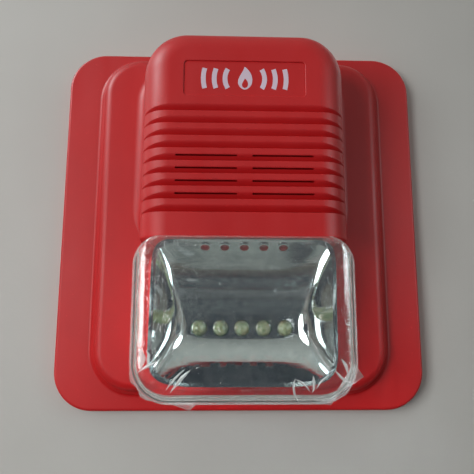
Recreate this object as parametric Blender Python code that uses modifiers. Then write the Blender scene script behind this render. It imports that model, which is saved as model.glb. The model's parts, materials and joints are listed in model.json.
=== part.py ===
"""Horn strobe for a fire alarm system: a wall base, a red moulded front unit that hangs on it by two
hooks, and the sounder, LED strobe and circuit boards inside the front unit.

Every piece is laid out in the wall frame: X to the right, Y up the wall, Z out of the wall, with the
origin at the middle of the base's back face. The assembly empty then stands that frame upright, so
that +Z is up and the strobe looks along -Y."""

from math import cos, pi, radians, sin, sqrt

import bmesh
import bpy
from mathutils import Matrix, Vector

MM = 0.001
GAP = 0.3 * MM
CORNER_STEPS = 5

# Front housing: flange, plinth, tower
PLATE_WIDTH, PLATE_HEIGHT, PLATE_DEPTH = 140 * MM, 142 * MM, 6 * MM
PLATE_CORNER, PLATE_DRAFT, PLATE_EDGE = 15 * MM, 0.5 * MM, 1.2 * MM
SKIRT_BACK = 0.3 * MM
SHELL_WALL, PLINTH_WALL = 2.0 * MM, 2.2 * MM
PLINTH_WIDTH, PLINTH_HEIGHT, PLINTH_TOP = 111 * MM, 131 * MM, 12.5 * MM
PLINTH_CENTRE_Y, PLINTH_CORNER = 1.5 * MM, 16 * MM
PLINTH_DRAFT, PLINTH_EDGE = 1.2 * MM, 3.8 * MM
TOWER_FRONT, TOWER_BOTTOM = 42 * MM, -10.8 * MM
TOWER_TOP_AT_FOOT, TOWER_TOP_AT_EDGE = 62.4 * MM, 61.2 * MM
TOWER_HALF_AT_FOOT, TOWER_HALF_AT_EDGE = 36.8 * MM, 34.6 * MM
TOWER_FOOT_FILLET, TOWER_SIDE_FILLET, TOWER_TOP_FILLET = 4.5 * MM, 10 * MM, 8 * MM
TOWER_CORNER, TOWER_FACE_CORNER = 15 * MM, 6 * MM
CAVITY_FRONT, CAVITY_HALF, CAVITY_TOP, CAVITY_BOTTOM = 37.8 * MM, 32.3 * MM, 58.9 * MM, -9 * MM
CAVITY_CORNER, CAVITY_FILLET = 13 * MM, 7.8 * MM

# Sound grooves across the tower
GROOVE_COUNT, GROOVE_PITCH, GROOVE_TOP_Y = 9, 4.24 * MM, 31.2 * MM
GROOVE_HEIGHT, GROOVE_DEPTH, GROOVE_LIP, GROOVE_CURVE = 2.5 * MM, 2.3 * MM, 0.25 * MM, 1.8
SLOTTED_GROOVES, SLOT_HEIGHT, SLOT_DROP = (4, 5, 6, 7), 0.5 * MM, 0.5 * MM
SLOT_INNER_X, SLOT_OUTER_X = 2.5 * MM, 22.5 * MM
RECESS_WIDTH, RECESS_HEIGHT, RECESS_DEPTH, RECESS_Y = 40.4 * MM, 12.2 * MM, 0.4 * MM, 42.6 * MM

# Strobe lens and its film
LENS_WIDTH, LENS_TOP, LENS_BOTTOM, LENS_FRONT = 70 * MM, -11.1 * MM, -61.6 * MM, 42.2 * MM
LENS_TOP_CORNER, LENS_BOTTOM_CORNER, LENS_EDGE = 8 * MM, 12 * MM, 4.5 * MM
LENS_WALL, LENS_FLARE = 1.4 * MM, 0.9 * MM
SEAT_MARGIN = 1.1 * MM
PEG_X, PEG_LENGTH, PEG_THICK, PEG_DEPTH = 18 * MM, 7 * MM, 1.2 * MM, 1.8 * MM
FILM_GAP, FILM_THICK, FILM_BACK, FILM_TOP = 0.45 * MM, 0.15 * MM, 34 * MM, -12 * MM

# Reflector bowl, LEDs and their board
BOWL_FLOOR, BOWL_WALL, BOWL_LIP, BOWL_TOP_LIMIT = 20 * MM, 0.9 * MM, 0.5 * MM, -11.2 * MM
BOWL_FLOOR_HALF, BOWL_FLOOR_TOP, BOWL_FLOOR_BOTTOM = 18 * MM, -38.2 * MM, -43 * MM
BOWL_RIM_TOP_HALF, BOWL_RIM_BOTTOM_HALF = 28.1 * MM, 30.6 * MM
BOWL_RIM_TOP, BOWL_RIM_BOTTOM = -12 * MM, -57 * MM
BOWL_RIM_TOP_Z, BOWL_RIM_BOTTOM_Z, BOWL_RIM_DIP = 39.6 * MM, 29 * MM, 1.6
BOWL_TOP_POWER, BOWL_BOTTOM_POWER = 2.3, 1.8
BOWL_FLOOR_SQUARENESS, BOWL_TOP_SQUARENESS, BOWL_BOTTOM_SQUARENESS = 4, 9, 6
LED_LINE_Y, LED_DOME_BASE = -39.8 * MM, 4 * MM
LED_COUNT, LED_PITCH, LED_RADIUS, LED_BASE = 5, 7.5 * MM, 2.5 * MM, 16.2 * MM
VENT_PITCH, VENT_RADIUS, VENT_SHARE = 6.8 * MM, 1.45 * MM, 0.95
LED_BOARD_WIDTH, LED_BOARD_HEIGHT, BOARD_THICK = 56 * MM, 11 * MM, 1.6 * MM
LED_BOARD_BACK, LED_SCREW_X = 14.3 * MM, 23.5 * MM

# Main board and what stands on it
BOARD_BACK, BOARD_FRONT = 14.0 * MM, 15.6 * MM
BOARD_HALF, BOARD_TOP, BOARD_BOTTOM, BOARD_CORNER = 31 * MM, 57.8 * MM, -8.2 * MM, 12.5 * MM
BOARD_SCREWS = [(-26.5 * MM, 49 * MM), (26.5 * MM, 49 * MM), (-27 * MM, -3.8 * MM), (27 * MM, -3.8 * MM)]
BOSS_RADIUS, PILOT_RADIUS, CLEARANCE_RADIUS = 3.2 * MM, 1.35 * MM, 1.6 * MM
SCREW_SHANK, SCREW_HEAD, SCREW_HEAD_HEIGHT = 1.05 * MM, 2.4 * MM, 1.5 * MM
TERMINAL_COUNT, TERMINAL_PITCH, TERMINAL_Y = 4, 5.08 * MM, 45 * MM
SWITCH_PLACE, SWITCH_PITCH, SWITCH_COUNT, SWITCH_TRAVEL = (-17 * MM, 24 * MM), 2.54 * MM, 3, 1.8 * MM
TRIMMER_PLACE = (17 * MM, 24 * MM)
BULK_CAPACITOR_PLACE, FILTER_CAPACITOR_PLACE = (25.6 * MM, 34 * MM), (-26 * MM, 33 * MM)
INDUCTOR_PLACE, COIL_PLACE = (-25.4 * MM, 8.5 * MM), (25.4 * MM, 8.5 * MM)
TRANSISTOR_PLACE, CHIP_PLACE, DIODE_PLACE = (0, 49 * MM), (0, 17.5 * MM), (0, 30 * MM)
LED_SOCKET_PLACE, SOUNDER_SOCKET_PLACE = (-13 * MM, 4 * MM), (13 * MM, 47 * MM)
SOCKET_HALF, SOCKET_PITCH = 3.7 * MM, 2.5 * MM
LED_SOCKET_DEPTH, SOUNDER_SOCKET_DEPTH = 5.2 * MM, 7 * MM
WIRE_RADIUS, WIRE_STEPS = 0.6 * MM, 2

# Sounder
SOUNDER_Y, SOUNDER_RADIUS, SOUNDER_BACK, SOUNDER_FACE = 16.5 * MM, 19.5 * MM, 26 * MM, 36 * MM
SOUNDER_EAR_X = 23 * MM

# Wall base and the hooks that the front unit swings on
BASE_WIDTH, BASE_HEIGHT, BASE_CORNER = 134.8 * MM, 135.8 * MM, 12.4 * MM
BASE_FLOOR, BASE_RIB, BASE_RIB_WIDTH, STIFFENER_X = 2 * MM, 3.5 * MM, 1.4 * MM, 52 * MM
CABLE_WAY_WIDTH, CABLE_WAY_HEIGHT, CABLE_WAY_CORNER, CABLE_WAY_Y = 46 * MM, 34 * MM, 6 * MM, 22 * MM
WALL_SLOT_LENGTH, WALL_SLOT_WIDTH = 9 * MM, 4.4 * MM
LEVEL_SLOTS = [(-30.2 * MM, -20 * MM), (30.2 * MM, -20 * MM)]
UPRIGHT_SLOTS = [(0, 52 * MM), (0, -32 * MM)]
HINGE_Y, HINGE_Z, HINGE_X = 66.6 * MM, 2.15 * MM, 38 * MM
PIN_RADIUS, EYE_BORE, EYE_RADIUS, EYE_WIDTH = 0.75 * MM, 1.05 * MM, 1.85 * MM, 8 * MM
OPENING_DEG, RELIEF_HEIGHT = 25, 3.9 * MM

LED_XS = [(index - (LED_COUNT - 1) / 2) * LED_PITCH for index in range(LED_COUNT)]

RED = ("red_abs", (0.55, 0.02, 0.025), 0.38, 0.0)
BASE_RED = ("base_abs", (0.45, 0.02, 0.022), 0.5, 0.0)
CLEAR = ("clear_lens", (0.92, 0.95, 0.95), 0.06, 0.0)
FILM = ("clear_film", (0.93, 0.95, 0.95), 0.12, 0.0)
CHROME = ("chrome_reflector", (0.82, 0.84, 0.86), 0.06, 1.0)
EPOXY = ("led_epoxy", (0.78, 0.84, 0.45), 0.12, 0.0)
BOARD = ("circuit_board", (0.03, 0.2, 0.08), 0.45, 0.0)
STEEL = ("plated_steel", (0.62, 0.62, 0.6), 0.3, 1.0)
BLACK = ("black_plastic", (0.03, 0.03, 0.032), 0.45, 0.0)
GREEN = ("terminal_green", (0.05, 0.32, 0.14), 0.45, 0.0)
BLUE = ("switch_blue", (0.04, 0.12, 0.5), 0.4, 0.0)
WHITE = ("white_plastic", (0.85, 0.85, 0.82), 0.45, 0.0)
BRASS = ("brass_disc", (0.78, 0.6, 0.28), 0.3, 1.0)
CERAMIC = ("ceramic", (0.82, 0.8, 0.74), 0.5, 0.0)
FOAM = ("foam", (0.06, 0.06, 0.065), 0.9, 0.0)
COPPER = ("copper_winding", (0.72, 0.32, 0.16), 0.35, 1.0)
CAN = ("capacitor_sleeve", (0.05, 0.07, 0.16), 0.35, 0.0)
RED_WIRE = ("red_insulation", (0.6, 0.03, 0.03), 0.5, 0.0)
BLACK_WIRE = ("black_insulation", (0.03, 0.03, 0.03), 0.5, 0.0)


# ---------------------------------------------------------------- scene, materials, placing

def clear_scene():
    for old in list(bpy.data.objects):
        bpy.data.objects.remove(old)


def new_collection(name):
    collection = bpy.data.collections.new(name)
    bpy.context.scene.collection.children.link(collection)
    return collection


def material(finish):
    name, colour, roughness, metallic = finish
    found = bpy.data.materials.get(name)
    if found:
        return found
    made = bpy.data.materials.new(name)
    made.use_nodes = True
    shader = made.node_tree.nodes["Principled BSDF"]
    shader.inputs["Base Color"].default_value = (*colour, 1)
    shader.inputs["Roughness"].default_value = roughness
    shader.inputs["Metallic"].default_value = metallic
    return made


def add(name, mesh, finish, at=(0, 0, 0), parent=None):
    """A new object of the mesh, placed in the wall frame under the assembly or under a pivot empty."""
    obj = bpy.data.objects.new(name, mesh)
    PARTS.objects.link(obj)
    obj.parent = parent or ASSEMBLY
    obj.location = Vector(at)
    if obj.parent != ASSEMBLY:
        obj.matrix_parent_inverse = Matrix.Translation(-obj.parent.location)
    if finish:
        mesh.materials.append(material(finish))
    return obj


def empty(name, at=(0, 0, 0), parent=None):
    obj = bpy.data.objects.new(name, None)
    obj.empty_display_size = 10 * MM
    PARTS.objects.link(obj)
    obj.parent = parent
    obj.location = at
    return obj


def finish_mesh(name, bm, smooth_deg=30):
    """Closes the bmesh into a mesh with its faces pointing out, smooth except at edges over smooth_deg."""
    bmesh.ops.remove_doubles(bm, verts=bm.verts, dist=1e-6)
    bmesh.ops.recalc_face_normals(bm, faces=bm.faces)
    mesh = bpy.data.meshes.new(name)
    bm.to_mesh(mesh)
    bm.free()
    mesh.shade_smooth()
    mesh.set_sharp_from_angle(angle=radians(smooth_deg))
    return mesh


def boolean(target, tool, operation):
    """Joins the tool to the target, or cuts it out, and puts the tool with the cutters."""
    modifier = target.modifiers.new(operation.lower() + "_" + tool.name, "BOOLEAN")
    modifier.operation = operation
    modifier.object = tool
    modifier.solver = "EXACT"
    if tool.name in PARTS.objects:
        PARTS.objects.unlink(tool)
        CUTTERS.objects.link(tool)
    tool.hide_render = True
    tool.display_type = "WIRE"


def cut(target, *tools):
    for tool in tools:
        boolean(target, tool, "DIFFERENCE")


def join(target, *tools):
    for tool in tools:
        boolean(target, tool, "UNION")


# ---------------------------------------------------------------- shapes

def outline(width, height, top_radius, bottom_radius=None, centre_y=0.0, steps=CORNER_STEPS):
    """Rounded rectangle about (0, centre_y), anticlockwise from its bottom right corner."""
    bottom_radius = top_radius if bottom_radius is None else bottom_radius
    corners = ((1, -1, bottom_radius, -90), (1, 1, top_radius, 0),
               (-1, 1, top_radius, 90), (-1, -1, bottom_radius, 180))
    points = []
    for side, end, radius, start in corners:
        middle_x = side * (width / 2 - radius)
        middle_y = centre_y + end * (height / 2 - radius)
        for step in range(steps + 1):
            angle = radians(start + 90 * step / steps)
            points.append((middle_x + radius * cos(angle), middle_y + radius * sin(angle)))
    return points


def skin_mesh(name, loops, smooth_deg=30):
    """Closed skin through loops of points, with end caps."""
    bm = bmesh.new()
    loops = [[bm.verts.new(point) for point in loop] for loop in loops]
    for lower, upper in zip(loops, loops[1:]):
        for index in range(len(lower)):
            after = (index + 1) % len(lower)
            bm.faces.new((lower[index], lower[after], upper[after], upper[index]))
    bm.faces.new(reversed(loops[0]))
    bm.faces.new(loops[-1])
    return finish_mesh(name, bm, smooth_deg)


def loft_mesh(name, rings, smooth_deg=30):
    """Closed skin through the rings, each a list of (x, y) and a height z, with flat end caps."""
    return skin_mesh(name, [[(x, y, z) for x, y in points] for points, z in rings], smooth_deg)


def loft(name, rings, finish=None, parent=None):
    return add(name, loft_mesh(name, rings), finish, parent=parent)


def box_mesh(name, low, high):
    low, high = Vector(low), Vector(high)
    bm = bmesh.new()
    bmesh.ops.create_cube(bm, size=1)
    bmesh.ops.scale(bm, verts=bm.verts, vec=high - low)
    bmesh.ops.translate(bm, verts=bm.verts, vec=(high + low) / 2)
    return finish_mesh(name, bm)


def box(name, low, high, finish=None, parent=None, edge=0.0):
    """Box between two corners; a width in edge rounds its edges."""
    obj = add(name, box_mesh(name, low, high), finish, parent=parent)
    if edge:
        bevel = obj.modifiers.new("edge", "BEVEL")
        bevel.width = edge
        bevel.segments = 1
    return obj


def rod(name, radius, start, end, finish=None, parent=None, sides=20):
    """Cylinder from one point to another."""
    start, end = Vector(start), Vector(end)
    bm = bmesh.new()
    bmesh.ops.create_cone(bm, cap_ends=True, segments=sides, radius1=radius, radius2=radius,
                          depth=(end - start).length)
    turn = (end - start).to_track_quat("Z", "Y").to_matrix().to_4x4()
    bmesh.ops.transform(bm, matrix=Matrix.Translation((start + end) / 2) @ turn, verts=bm.verts)
    return add(name, finish_mesh(name, bm), finish, parent=parent)


def turned(name, profile, at, finish=None, parent=None, steps=24):
    """Solid of revolution about the Z axis through the point. The profile's (radius, z) points run down
    its outer side, top to bottom, and for a ring back up its inner side."""
    mesh = bpy.data.meshes.new(name)
    points = [(radius, 0, z) for radius, z in profile]
    edges = [(index, index + 1) for index in range(len(points) - 1)]
    if profile[0][0] > 0 and profile[-1][0] > 0:
        edges.append((len(points) - 1, 0))
    mesh.from_pydata(points, edges, [])
    obj = add(name, mesh, finish, at=at, parent=parent)
    screw = obj.modifiers.new("turn", "SCREW")
    screw.axis = "Z"
    screw.steps = screw.render_steps = steps
    screw.use_merge_vertices = True
    screw.merge_threshold = 1e-5
    screw.use_smooth_shade = True
    return obj


def plate(name, outlines, z_low, z_high, finish=None, parent=None):
    """Flat plate of the first outline, with the other outlines as holes through it."""
    curve = bpy.data.curves.new(name, "CURVE")
    curve.dimensions = "2D"
    curve.fill_mode = "BOTH"
    curve.extrude = (z_high - z_low) / 2
    for points in outlines:
        spline = curve.splines.new("POLY")
        spline.points.add(len(points) - 1)
        for point, (x, y) in zip(spline.points, points):
            point.co = (x, y, 0, 1)
        spline.use_cyclic_u = True
    return add(name, curve, finish, at=(0, 0, (z_low + z_high) / 2), parent=parent)


def meshed(curve_obj):
    """The curve object made a mesh object with its caps welded, so that it can be cut and joined."""
    bpy.context.view_layer.update()
    graph = bpy.context.evaluated_depsgraph_get()
    mesh = bpy.data.meshes.new_from_object(curve_obj.evaluated_get(graph))
    bm = bmesh.new()
    bm.from_mesh(mesh)
    bmesh.ops.remove_doubles(bm, verts=bm.verts, dist=1e-6)
    bm.to_mesh(mesh)
    bm.free()
    name, parent = curve_obj.name, curve_obj.parent
    made = bpy.data.objects.new(name + "_mesh", mesh)
    PARTS.objects.link(made)
    made.parent = parent
    made.matrix_parent_inverse = curve_obj.matrix_parent_inverse
    made.matrix_world = curve_obj.matrix_world
    bpy.data.objects.remove(curve_obj)
    made.name = name
    return made


def circle(radius, x, y, sides=16):
    return [(x + radius * cos(2 * pi * i / sides), y + radius * sin(2 * pi * i / sides))
            for i in range(sides)]


def wire(name, route, radius, finish, parent):
    """Insulated wire along a smooth curve through the route's points."""
    points = [Vector(point) for point in route]
    padded = [points[0] * 2 - points[1], *points, points[-1] * 2 - points[-2]]
    curve = bpy.data.curves.new(name, "CURVE")
    curve.dimensions = "3D"
    curve.bevel_depth = radius
    curve.bevel_resolution = 2
    curve.use_fill_caps = True
    smooth = []
    for before, start, end, after in zip(padded, padded[1:], padded[2:], padded[3:]):
        for step in range(WIRE_STEPS):
            t = step / WIRE_STEPS
            smooth.append(0.5 * (2 * start + (end - before) * t
                                 + (2 * before - 5 * start + 4 * end - after) * t ** 2
                                 + (3 * start - before - 3 * end + after) * t ** 3))
    smooth.append(points[-1])
    spline = curve.splines.new("POLY")
    spline.points.add(len(smooth) - 1)
    for point, place in zip(spline.points, smooth):
        point.co = (*place, 1)
    return add(name, curve, finish, parent=parent)


# ---------------------------------------------------------------- front housing

def rounded_edge(outline_at, inset, top, radius, steps):
    """Rings that turn a wall over into a face at height top."""
    rings = []
    for step in range(1, steps + 1):
        angle = pi / 2 * step / steps
        rings.append((outline_at(inset + radius * (1 - cos(angle))), top - radius * (1 - sin(angle))))
    return rings


def flange_outline(inset):
    return outline(PLATE_WIDTH - 2 * inset, PLATE_HEIGHT - 2 * inset, PLATE_CORNER - inset)


def plinth_outline(inset):
    return outline(PLINTH_WIDTH - 2 * inset, PLINTH_HEIGHT - 2 * inset, PLINTH_CORNER - inset,
                   centre_y=PLINTH_CENTRE_Y)


def tower_outline(half, top, corner, flare=0.0, bottom=TOWER_BOTTOM):
    """The tower's outline: square at the bottom, rounded at the top. The flare widens the sides above
    the lens and dies away towards it."""
    side_top = top - corner
    side = []
    for part in (0, 0.08, 0.16, 0.24, 1):
        grown = min(1.0, part / 0.24)
        side.append((half + flare * grown ** 2 * (3 - 2 * grown), bottom + (side_top - bottom) * part))
    arc = []
    for step in range(1, 7):
        angle = pi / 2 * step / 6
        width = half + flare - corner
        arc.append((width + corner * cos(angle), side_top + corner * sin(angle)))
    right = side + arc
    return right + [(-x, y) for x, y in reversed(right)]


def tower_section(z):
    """(half width, top, corner radius) of the tower at height z."""
    fillet_z = TOWER_FRONT - TOWER_SIDE_FILLET
    if z <= fillet_z:
        rise = (z - PLINTH_TOP) / (fillet_z - PLINTH_TOP)
        half = TOWER_HALF_AT_FOOT + (TOWER_HALF_AT_EDGE - TOWER_HALF_AT_FOOT) * rise
        return half, TOWER_TOP_AT_FOOT + (TOWER_TOP_AT_EDGE - TOWER_TOP_AT_FOOT) * rise, TOWER_CORNER
    up = z - fillet_z
    half = TOWER_HALF_AT_EDGE - TOWER_SIDE_FILLET + sqrt(max(TOWER_SIDE_FILLET ** 2 - up ** 2, 0))
    top_up = max(0.0, z - (TOWER_FRONT - TOWER_TOP_FILLET))
    top = TOWER_TOP_AT_EDGE - TOWER_TOP_FILLET + sqrt(max(TOWER_TOP_FILLET ** 2 - top_up ** 2, 0))
    share = 1 - sqrt(max(1 - (up / TOWER_SIDE_FILLET) ** 2, 0))
    return half, top, TOWER_CORNER + (TOWER_FACE_CORNER - TOWER_CORNER) * share


def tower_rings(steps=8):
    rings = []
    half, top, corner = tower_section(PLINTH_TOP)
    rings.append((tower_outline(half, top, corner, TOWER_FOOT_FILLET), PLINTH_TOP - 4 * MM))
    for step in range(4):
        angle = pi / 2 * step / 3
        z = PLINTH_TOP + TOWER_FOOT_FILLET * (1 - cos(angle))
        half, top, corner = tower_section(z)
        rings.append((tower_outline(half, top, corner, TOWER_FOOT_FILLET * (1 - sin(angle))), z))
    for step in range(steps + 1):
        angle = pi / 2 * step / steps
        z = TOWER_FRONT - TOWER_SIDE_FILLET * (1 - sin(angle))
        rings.append((tower_outline(*tower_section(z)), z))
    return rings


def cavity_rings():
    """Hollow of the tower, open to the back."""
    foot = tower_outline(CAVITY_HALF, CAVITY_TOP, CAVITY_CORNER, bottom=CAVITY_BOTTOM)
    rings = [(foot, PLINTH_TOP - 6 * MM)]
    for step in range(5):
        angle = pi / 2 * step / 4
        inset = CAVITY_FILLET * (1 - cos(angle))
        points = tower_outline(CAVITY_HALF - inset, CAVITY_TOP - inset, CAVITY_CORNER - inset,
                               bottom=CAVITY_BOTTOM)
        rings.append((points, CAVITY_FRONT - CAVITY_FILLET * (1 - sin(angle))))
    return rings


def groove_tool(name, bottom_y):
    """Cutter for one groove: a prism straight across the tower, with a curved slope above and a sharp step
    below, which runs out where the tower's side fillet falls away."""
    outside, slope_steps = TOWER_FRONT + 3 * MM, 5
    section = [(-GROOVE_LIP, outside), (-GROOVE_LIP, TOWER_FRONT), (0, TOWER_FRONT - GROOVE_LIP)]
    for step in range(slope_steps + 1):
        share = step / slope_steps
        depth = GROOVE_DEPTH * (1 - share) ** GROOVE_CURVE
        section.append((GROOVE_HEIGHT * share, TOWER_FRONT - depth))
    section.append((GROOVE_HEIGHT, outside))
    ends = (-TOWER_HALF_AT_EDGE, TOWER_HALF_AT_EDGE)
    loops = [[(x, bottom_y + across, z) for across, z in section] for x in ends]
    return add(name, skin_mesh(name, loops), None)


def front_housing(unit):
    flange = [(flange_outline(0), SKIRT_BACK), (flange_outline(PLATE_DRAFT), PLATE_DEPTH - PLATE_EDGE)]
    flange += rounded_edge(flange_outline, PLATE_DRAFT, PLATE_DEPTH, PLATE_EDGE, 3)
    housing = loft("front_housing", flange, RED, unit)
    plinth = [(plinth_outline(0), PLATE_DEPTH - 1 * MM), (plinth_outline(0), PLATE_DEPTH),
              (plinth_outline(PLINTH_DRAFT), PLINTH_TOP - PLINTH_EDGE)]
    plinth += rounded_edge(plinth_outline, PLINTH_DRAFT, PLINTH_TOP, PLINTH_EDGE, 4)
    seat_height = LENS_TOP - LENS_BOTTOM + 2 * SEAT_MARGIN
    seat = outline(LENS_WIDTH + 2 * LENS_FLARE + 2 * SEAT_MARGIN, seat_height, LENS_TOP_CORNER,
                   LENS_BOTTOM_CORNER + SEAT_MARGIN, centre_y=(LENS_TOP + LENS_BOTTOM) / 2)
    join(housing, loft("plinth_body", plinth), loft("tower_body", tower_rings()),
         loft("lens_seat", [(seat, PLATE_DEPTH - 1 * MM), (seat, PLINTH_TOP)]))
    hollow_housing(housing)
    add_board_bosses(housing)
    cut_front_details(housing)
    add_hinge_eyes(housing)
    return housing


def hollow_housing(housing):
    skirt = flange_outline(SHELL_WALL + 0.2 * MM)
    skirt_hollow = loft("skirt_hollow", [(skirt, -1 * MM), (skirt, PLATE_DEPTH - SHELL_WALL)])
    wide, narrow = plinth_outline(1.5 * SHELL_WALL), plinth_outline(3 * SHELL_WALL)
    plinth_hollow = loft("plinth_hollow", [(wide, 2 * MM), (wide, PLATE_DEPTH + 1.5 * MM),
                                           (narrow, PLINTH_TOP - PLINTH_WALL)])
    cut(housing, skirt_hollow, plinth_hollow, loft("tower_hollow", cavity_rings()), tilt_relief())


def tilt_relief():
    """Wedge taken off behind the flange's top edge, which then clears the wall as the unit swings out."""
    wedge = box("tilt_relief", (-PLATE_WIDTH, 0, -10 * MM), (PLATE_WIDTH, 20 * MM, 0))
    wedge.location.y = PLATE_HEIGHT / 2 - RELIEF_HEIGHT
    wedge.rotation_euler.x = radians(OPENING_DEG + 1)
    return wedge


def add_board_bosses(housing):
    for number, (x, y) in enumerate(BOARD_SCREWS, 1):
        start, end = (x, y, BOARD_FRONT + GAP), (x, y, CAVITY_FRONT + 1 * MM)
        join(housing, rod(f"board_boss_{number}", BOSS_RADIUS, start, end))
        cut(housing, rod(f"board_pilot_{number}", PILOT_RADIUS, (x, y, 10 * MM), (x, y, 26 * MM), sides=12))
    for number, x in enumerate((-SOUNDER_EAR_X, SOUNDER_EAR_X), 1):
        start, end = (x, SOUNDER_Y, 32.9 * MM), (x, SOUNDER_Y, CAVITY_FRONT + 1 * MM)
        join(housing, rod(f"sounder_boss_{number}", 2.7 * MM, start, end))
        pilot_end = (x, SOUNDER_Y, 37.6 * MM)
        pilot_start = (x, SOUNDER_Y, 30 * MM)
        cut(housing, rod(f"sounder_pilot_{number}", PILOT_RADIUS, pilot_start, pilot_end, sides=12))
    for number, x in enumerate((-LED_SCREW_X, LED_SCREW_X), 1):
        base, top = (x, LED_LINE_Y, PLINTH_TOP - 1 * MM), (x, LED_LINE_Y, LED_BOARD_BACK - GAP)
        join(housing, rod(f"led_boss_{number}", BOSS_RADIUS, base, top))
        cut(housing, rod(f"led_hole_{number}", CLEARANCE_RADIUS, (x, LED_LINE_Y, 5 * MM),
                         (x, LED_LINE_Y, 16 * MM), sides=12))


def cut_front_details(housing):
    for index in range(GROOVE_COUNT):
        bottom_y = GROOVE_TOP_Y - index * GROOVE_PITCH
        cut(housing, groove_tool(f"groove_{index + 1}", bottom_y))
        if index not in SLOTTED_GROOVES:
            continue
        slot_top = bottom_y + GROOVE_HEIGHT - SLOT_DROP
        for side in (-1, 1):
            ends = sorted((side * SLOT_INNER_X, side * SLOT_OUTER_X))
            low = (ends[0], slot_top - SLOT_HEIGHT, CAVITY_FRONT - 2 * MM)
            cut(housing, box(f"slot_{index + 1}_{side}", low, (ends[1], slot_top, TOWER_FRONT)))
    recess = outline(RECESS_WIDTH, RECESS_HEIGHT, 1 * MM, centre_y=RECESS_Y, steps=3)
    cut(housing, loft("mark_recess", [(recess, TOWER_FRONT - RECESS_DEPTH), (recess, TOWER_FRONT + 3 * MM)]))
    window_low = (-6 * MM, LED_LINE_Y - 3 * MM, PLATE_DEPTH)
    cut(housing, box("lead_window", window_low, (6 * MM, LED_LINE_Y + 3 * MM, PLINTH_TOP + 2 * MM)))
    for number, (x, y) in enumerate(peg_places(), 1):
        margin = PEG_THICK / 2 + GAP
        half = PEG_LENGTH / 2 + GAP
        low = (x - half, y - margin, PLINTH_TOP + GAP - PEG_DEPTH - GAP)
        cut(housing, box(f"peg_pocket_{number}", low, (x + half, y + margin, PLINTH_TOP + 1 * MM)))


def add_hinge_eyes(housing):
    """Two hooks under the flange's top edge, each a ring round a pin of the base, open to the back."""
    for number, x in enumerate((-HINGE_X, HINGE_X), 1):
        left, right = x - EYE_WIDTH / 2, x + EYE_WIDTH / 2
        join(housing, rod(f"eye_{number}", EYE_RADIUS, (left, HINGE_Y, HINGE_Z), (right, HINGE_Y, HINGE_Z)))
        join(housing, box(f"eye_root_{number}", (left, HINGE_Y - 1.3 * MM, HINGE_Z + 1.1 * MM),
                          (right, HINGE_Y + 1.6 * MM, PLATE_DEPTH - 1 * MM)))
        ends = (left - 1 * MM, HINGE_Y, HINGE_Z), (right + 1 * MM, HINGE_Y, HINGE_Z)
        cut(housing, rod(f"eye_bore_{number}", EYE_BORE, *ends))
        cut(housing, box(f"eye_mouth_{number}", (left - 1 * MM, HINGE_Y - 0.7 * MM, -1 * MM),
                         (right + 1 * MM, HINGE_Y + 0.7 * MM, HINGE_Z)))


# ---------------------------------------------------------------- lens, film, reflector, LEDs

def peg_places():
    """Centres of the lens's four locating pegs."""
    inset = LENS_WALL / 2
    return [(x, y) for y in (LENS_BOTTOM + inset, LENS_TOP - inset) for x in (-PEG_X, PEG_X)]


def lens_outline(inset, flare=0.0, top=LENS_TOP):
    """The lens's outline, drawn in at its sides and bottom; its top edge stays against the tower."""
    bottom = LENS_BOTTOM + inset
    return outline(LENS_WIDTH + 2 * flare - 2 * inset, top - bottom, LENS_TOP_CORNER - inset,
                   LENS_BOTTOM_CORNER - inset, centre_y=(top + bottom) / 2)


def lens_rings(foot, inset, front, edge, steps=4):
    rings = [(lens_outline(inset, LENS_FLARE), foot), (lens_outline(inset), front - edge)]
    return rings + rounded_edge(lens_outline, inset, front, edge, steps)


def strobe_lens(unit):
    foot = PLINTH_TOP + GAP
    lens = loft("strobe_lens", lens_rings(foot, 0.0, LENS_FRONT, LENS_EDGE), CLEAR, unit)
    inner = lens_rings(foot - 2 * MM, LENS_WALL, LENS_FRONT - LENS_WALL, LENS_EDGE - LENS_WALL)
    for number, (x, y) in enumerate(peg_places(), 1):
        low = (x - PEG_LENGTH / 2, y - PEG_THICK / 2, foot - PEG_DEPTH)
        high = (x + PEG_LENGTH / 2, y + PEG_THICK / 2, foot + 1 * MM)
        join(lens, box(f"lens_peg_{number}", low, high))
    cut(lens, loft("lens_hollow", inner))
    opening = LENS_WIDTH / 2 - LENS_TOP_CORNER
    cut(lens, box("lens_top_opening", (-opening, LENS_TOP - 4 * MM, foot + 2 * MM),
                  (opening, LENS_TOP + 2 * MM, LENS_FRONT - LENS_WALL)))
    return lens


def protective_film(unit):
    """Thin film laid over the lens's front and down its sides."""
    film = loft("protective_film", film_rings(FILM_GAP + FILM_THICK, FILM_BACK), FILM, unit)
    top_trim = box("film_top_trim", (-LENS_WIDTH, FILM_TOP, 20 * MM), (LENS_WIDTH, 0, 60 * MM))
    cut(film, loft("film_hollow", film_rings(FILM_GAP, FILM_BACK - 2 * MM)), top_trim)
    return film


def film_rings(grow, back):
    """The lens's outer form grown by a distance all round, for the film's outer or inner face."""
    def film_outline(inset):
        return lens_outline(inset, top=LENS_TOP + grow)

    front, edge = LENS_FRONT + grow, LENS_EDGE + grow
    rings = [(film_outline(-grow), back), (film_outline(-grow), front - edge)]
    return rings + rounded_edge(film_outline, -grow, front, edge, 4)


def between(start, end, share):
    return start + (end - start) * share


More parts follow.
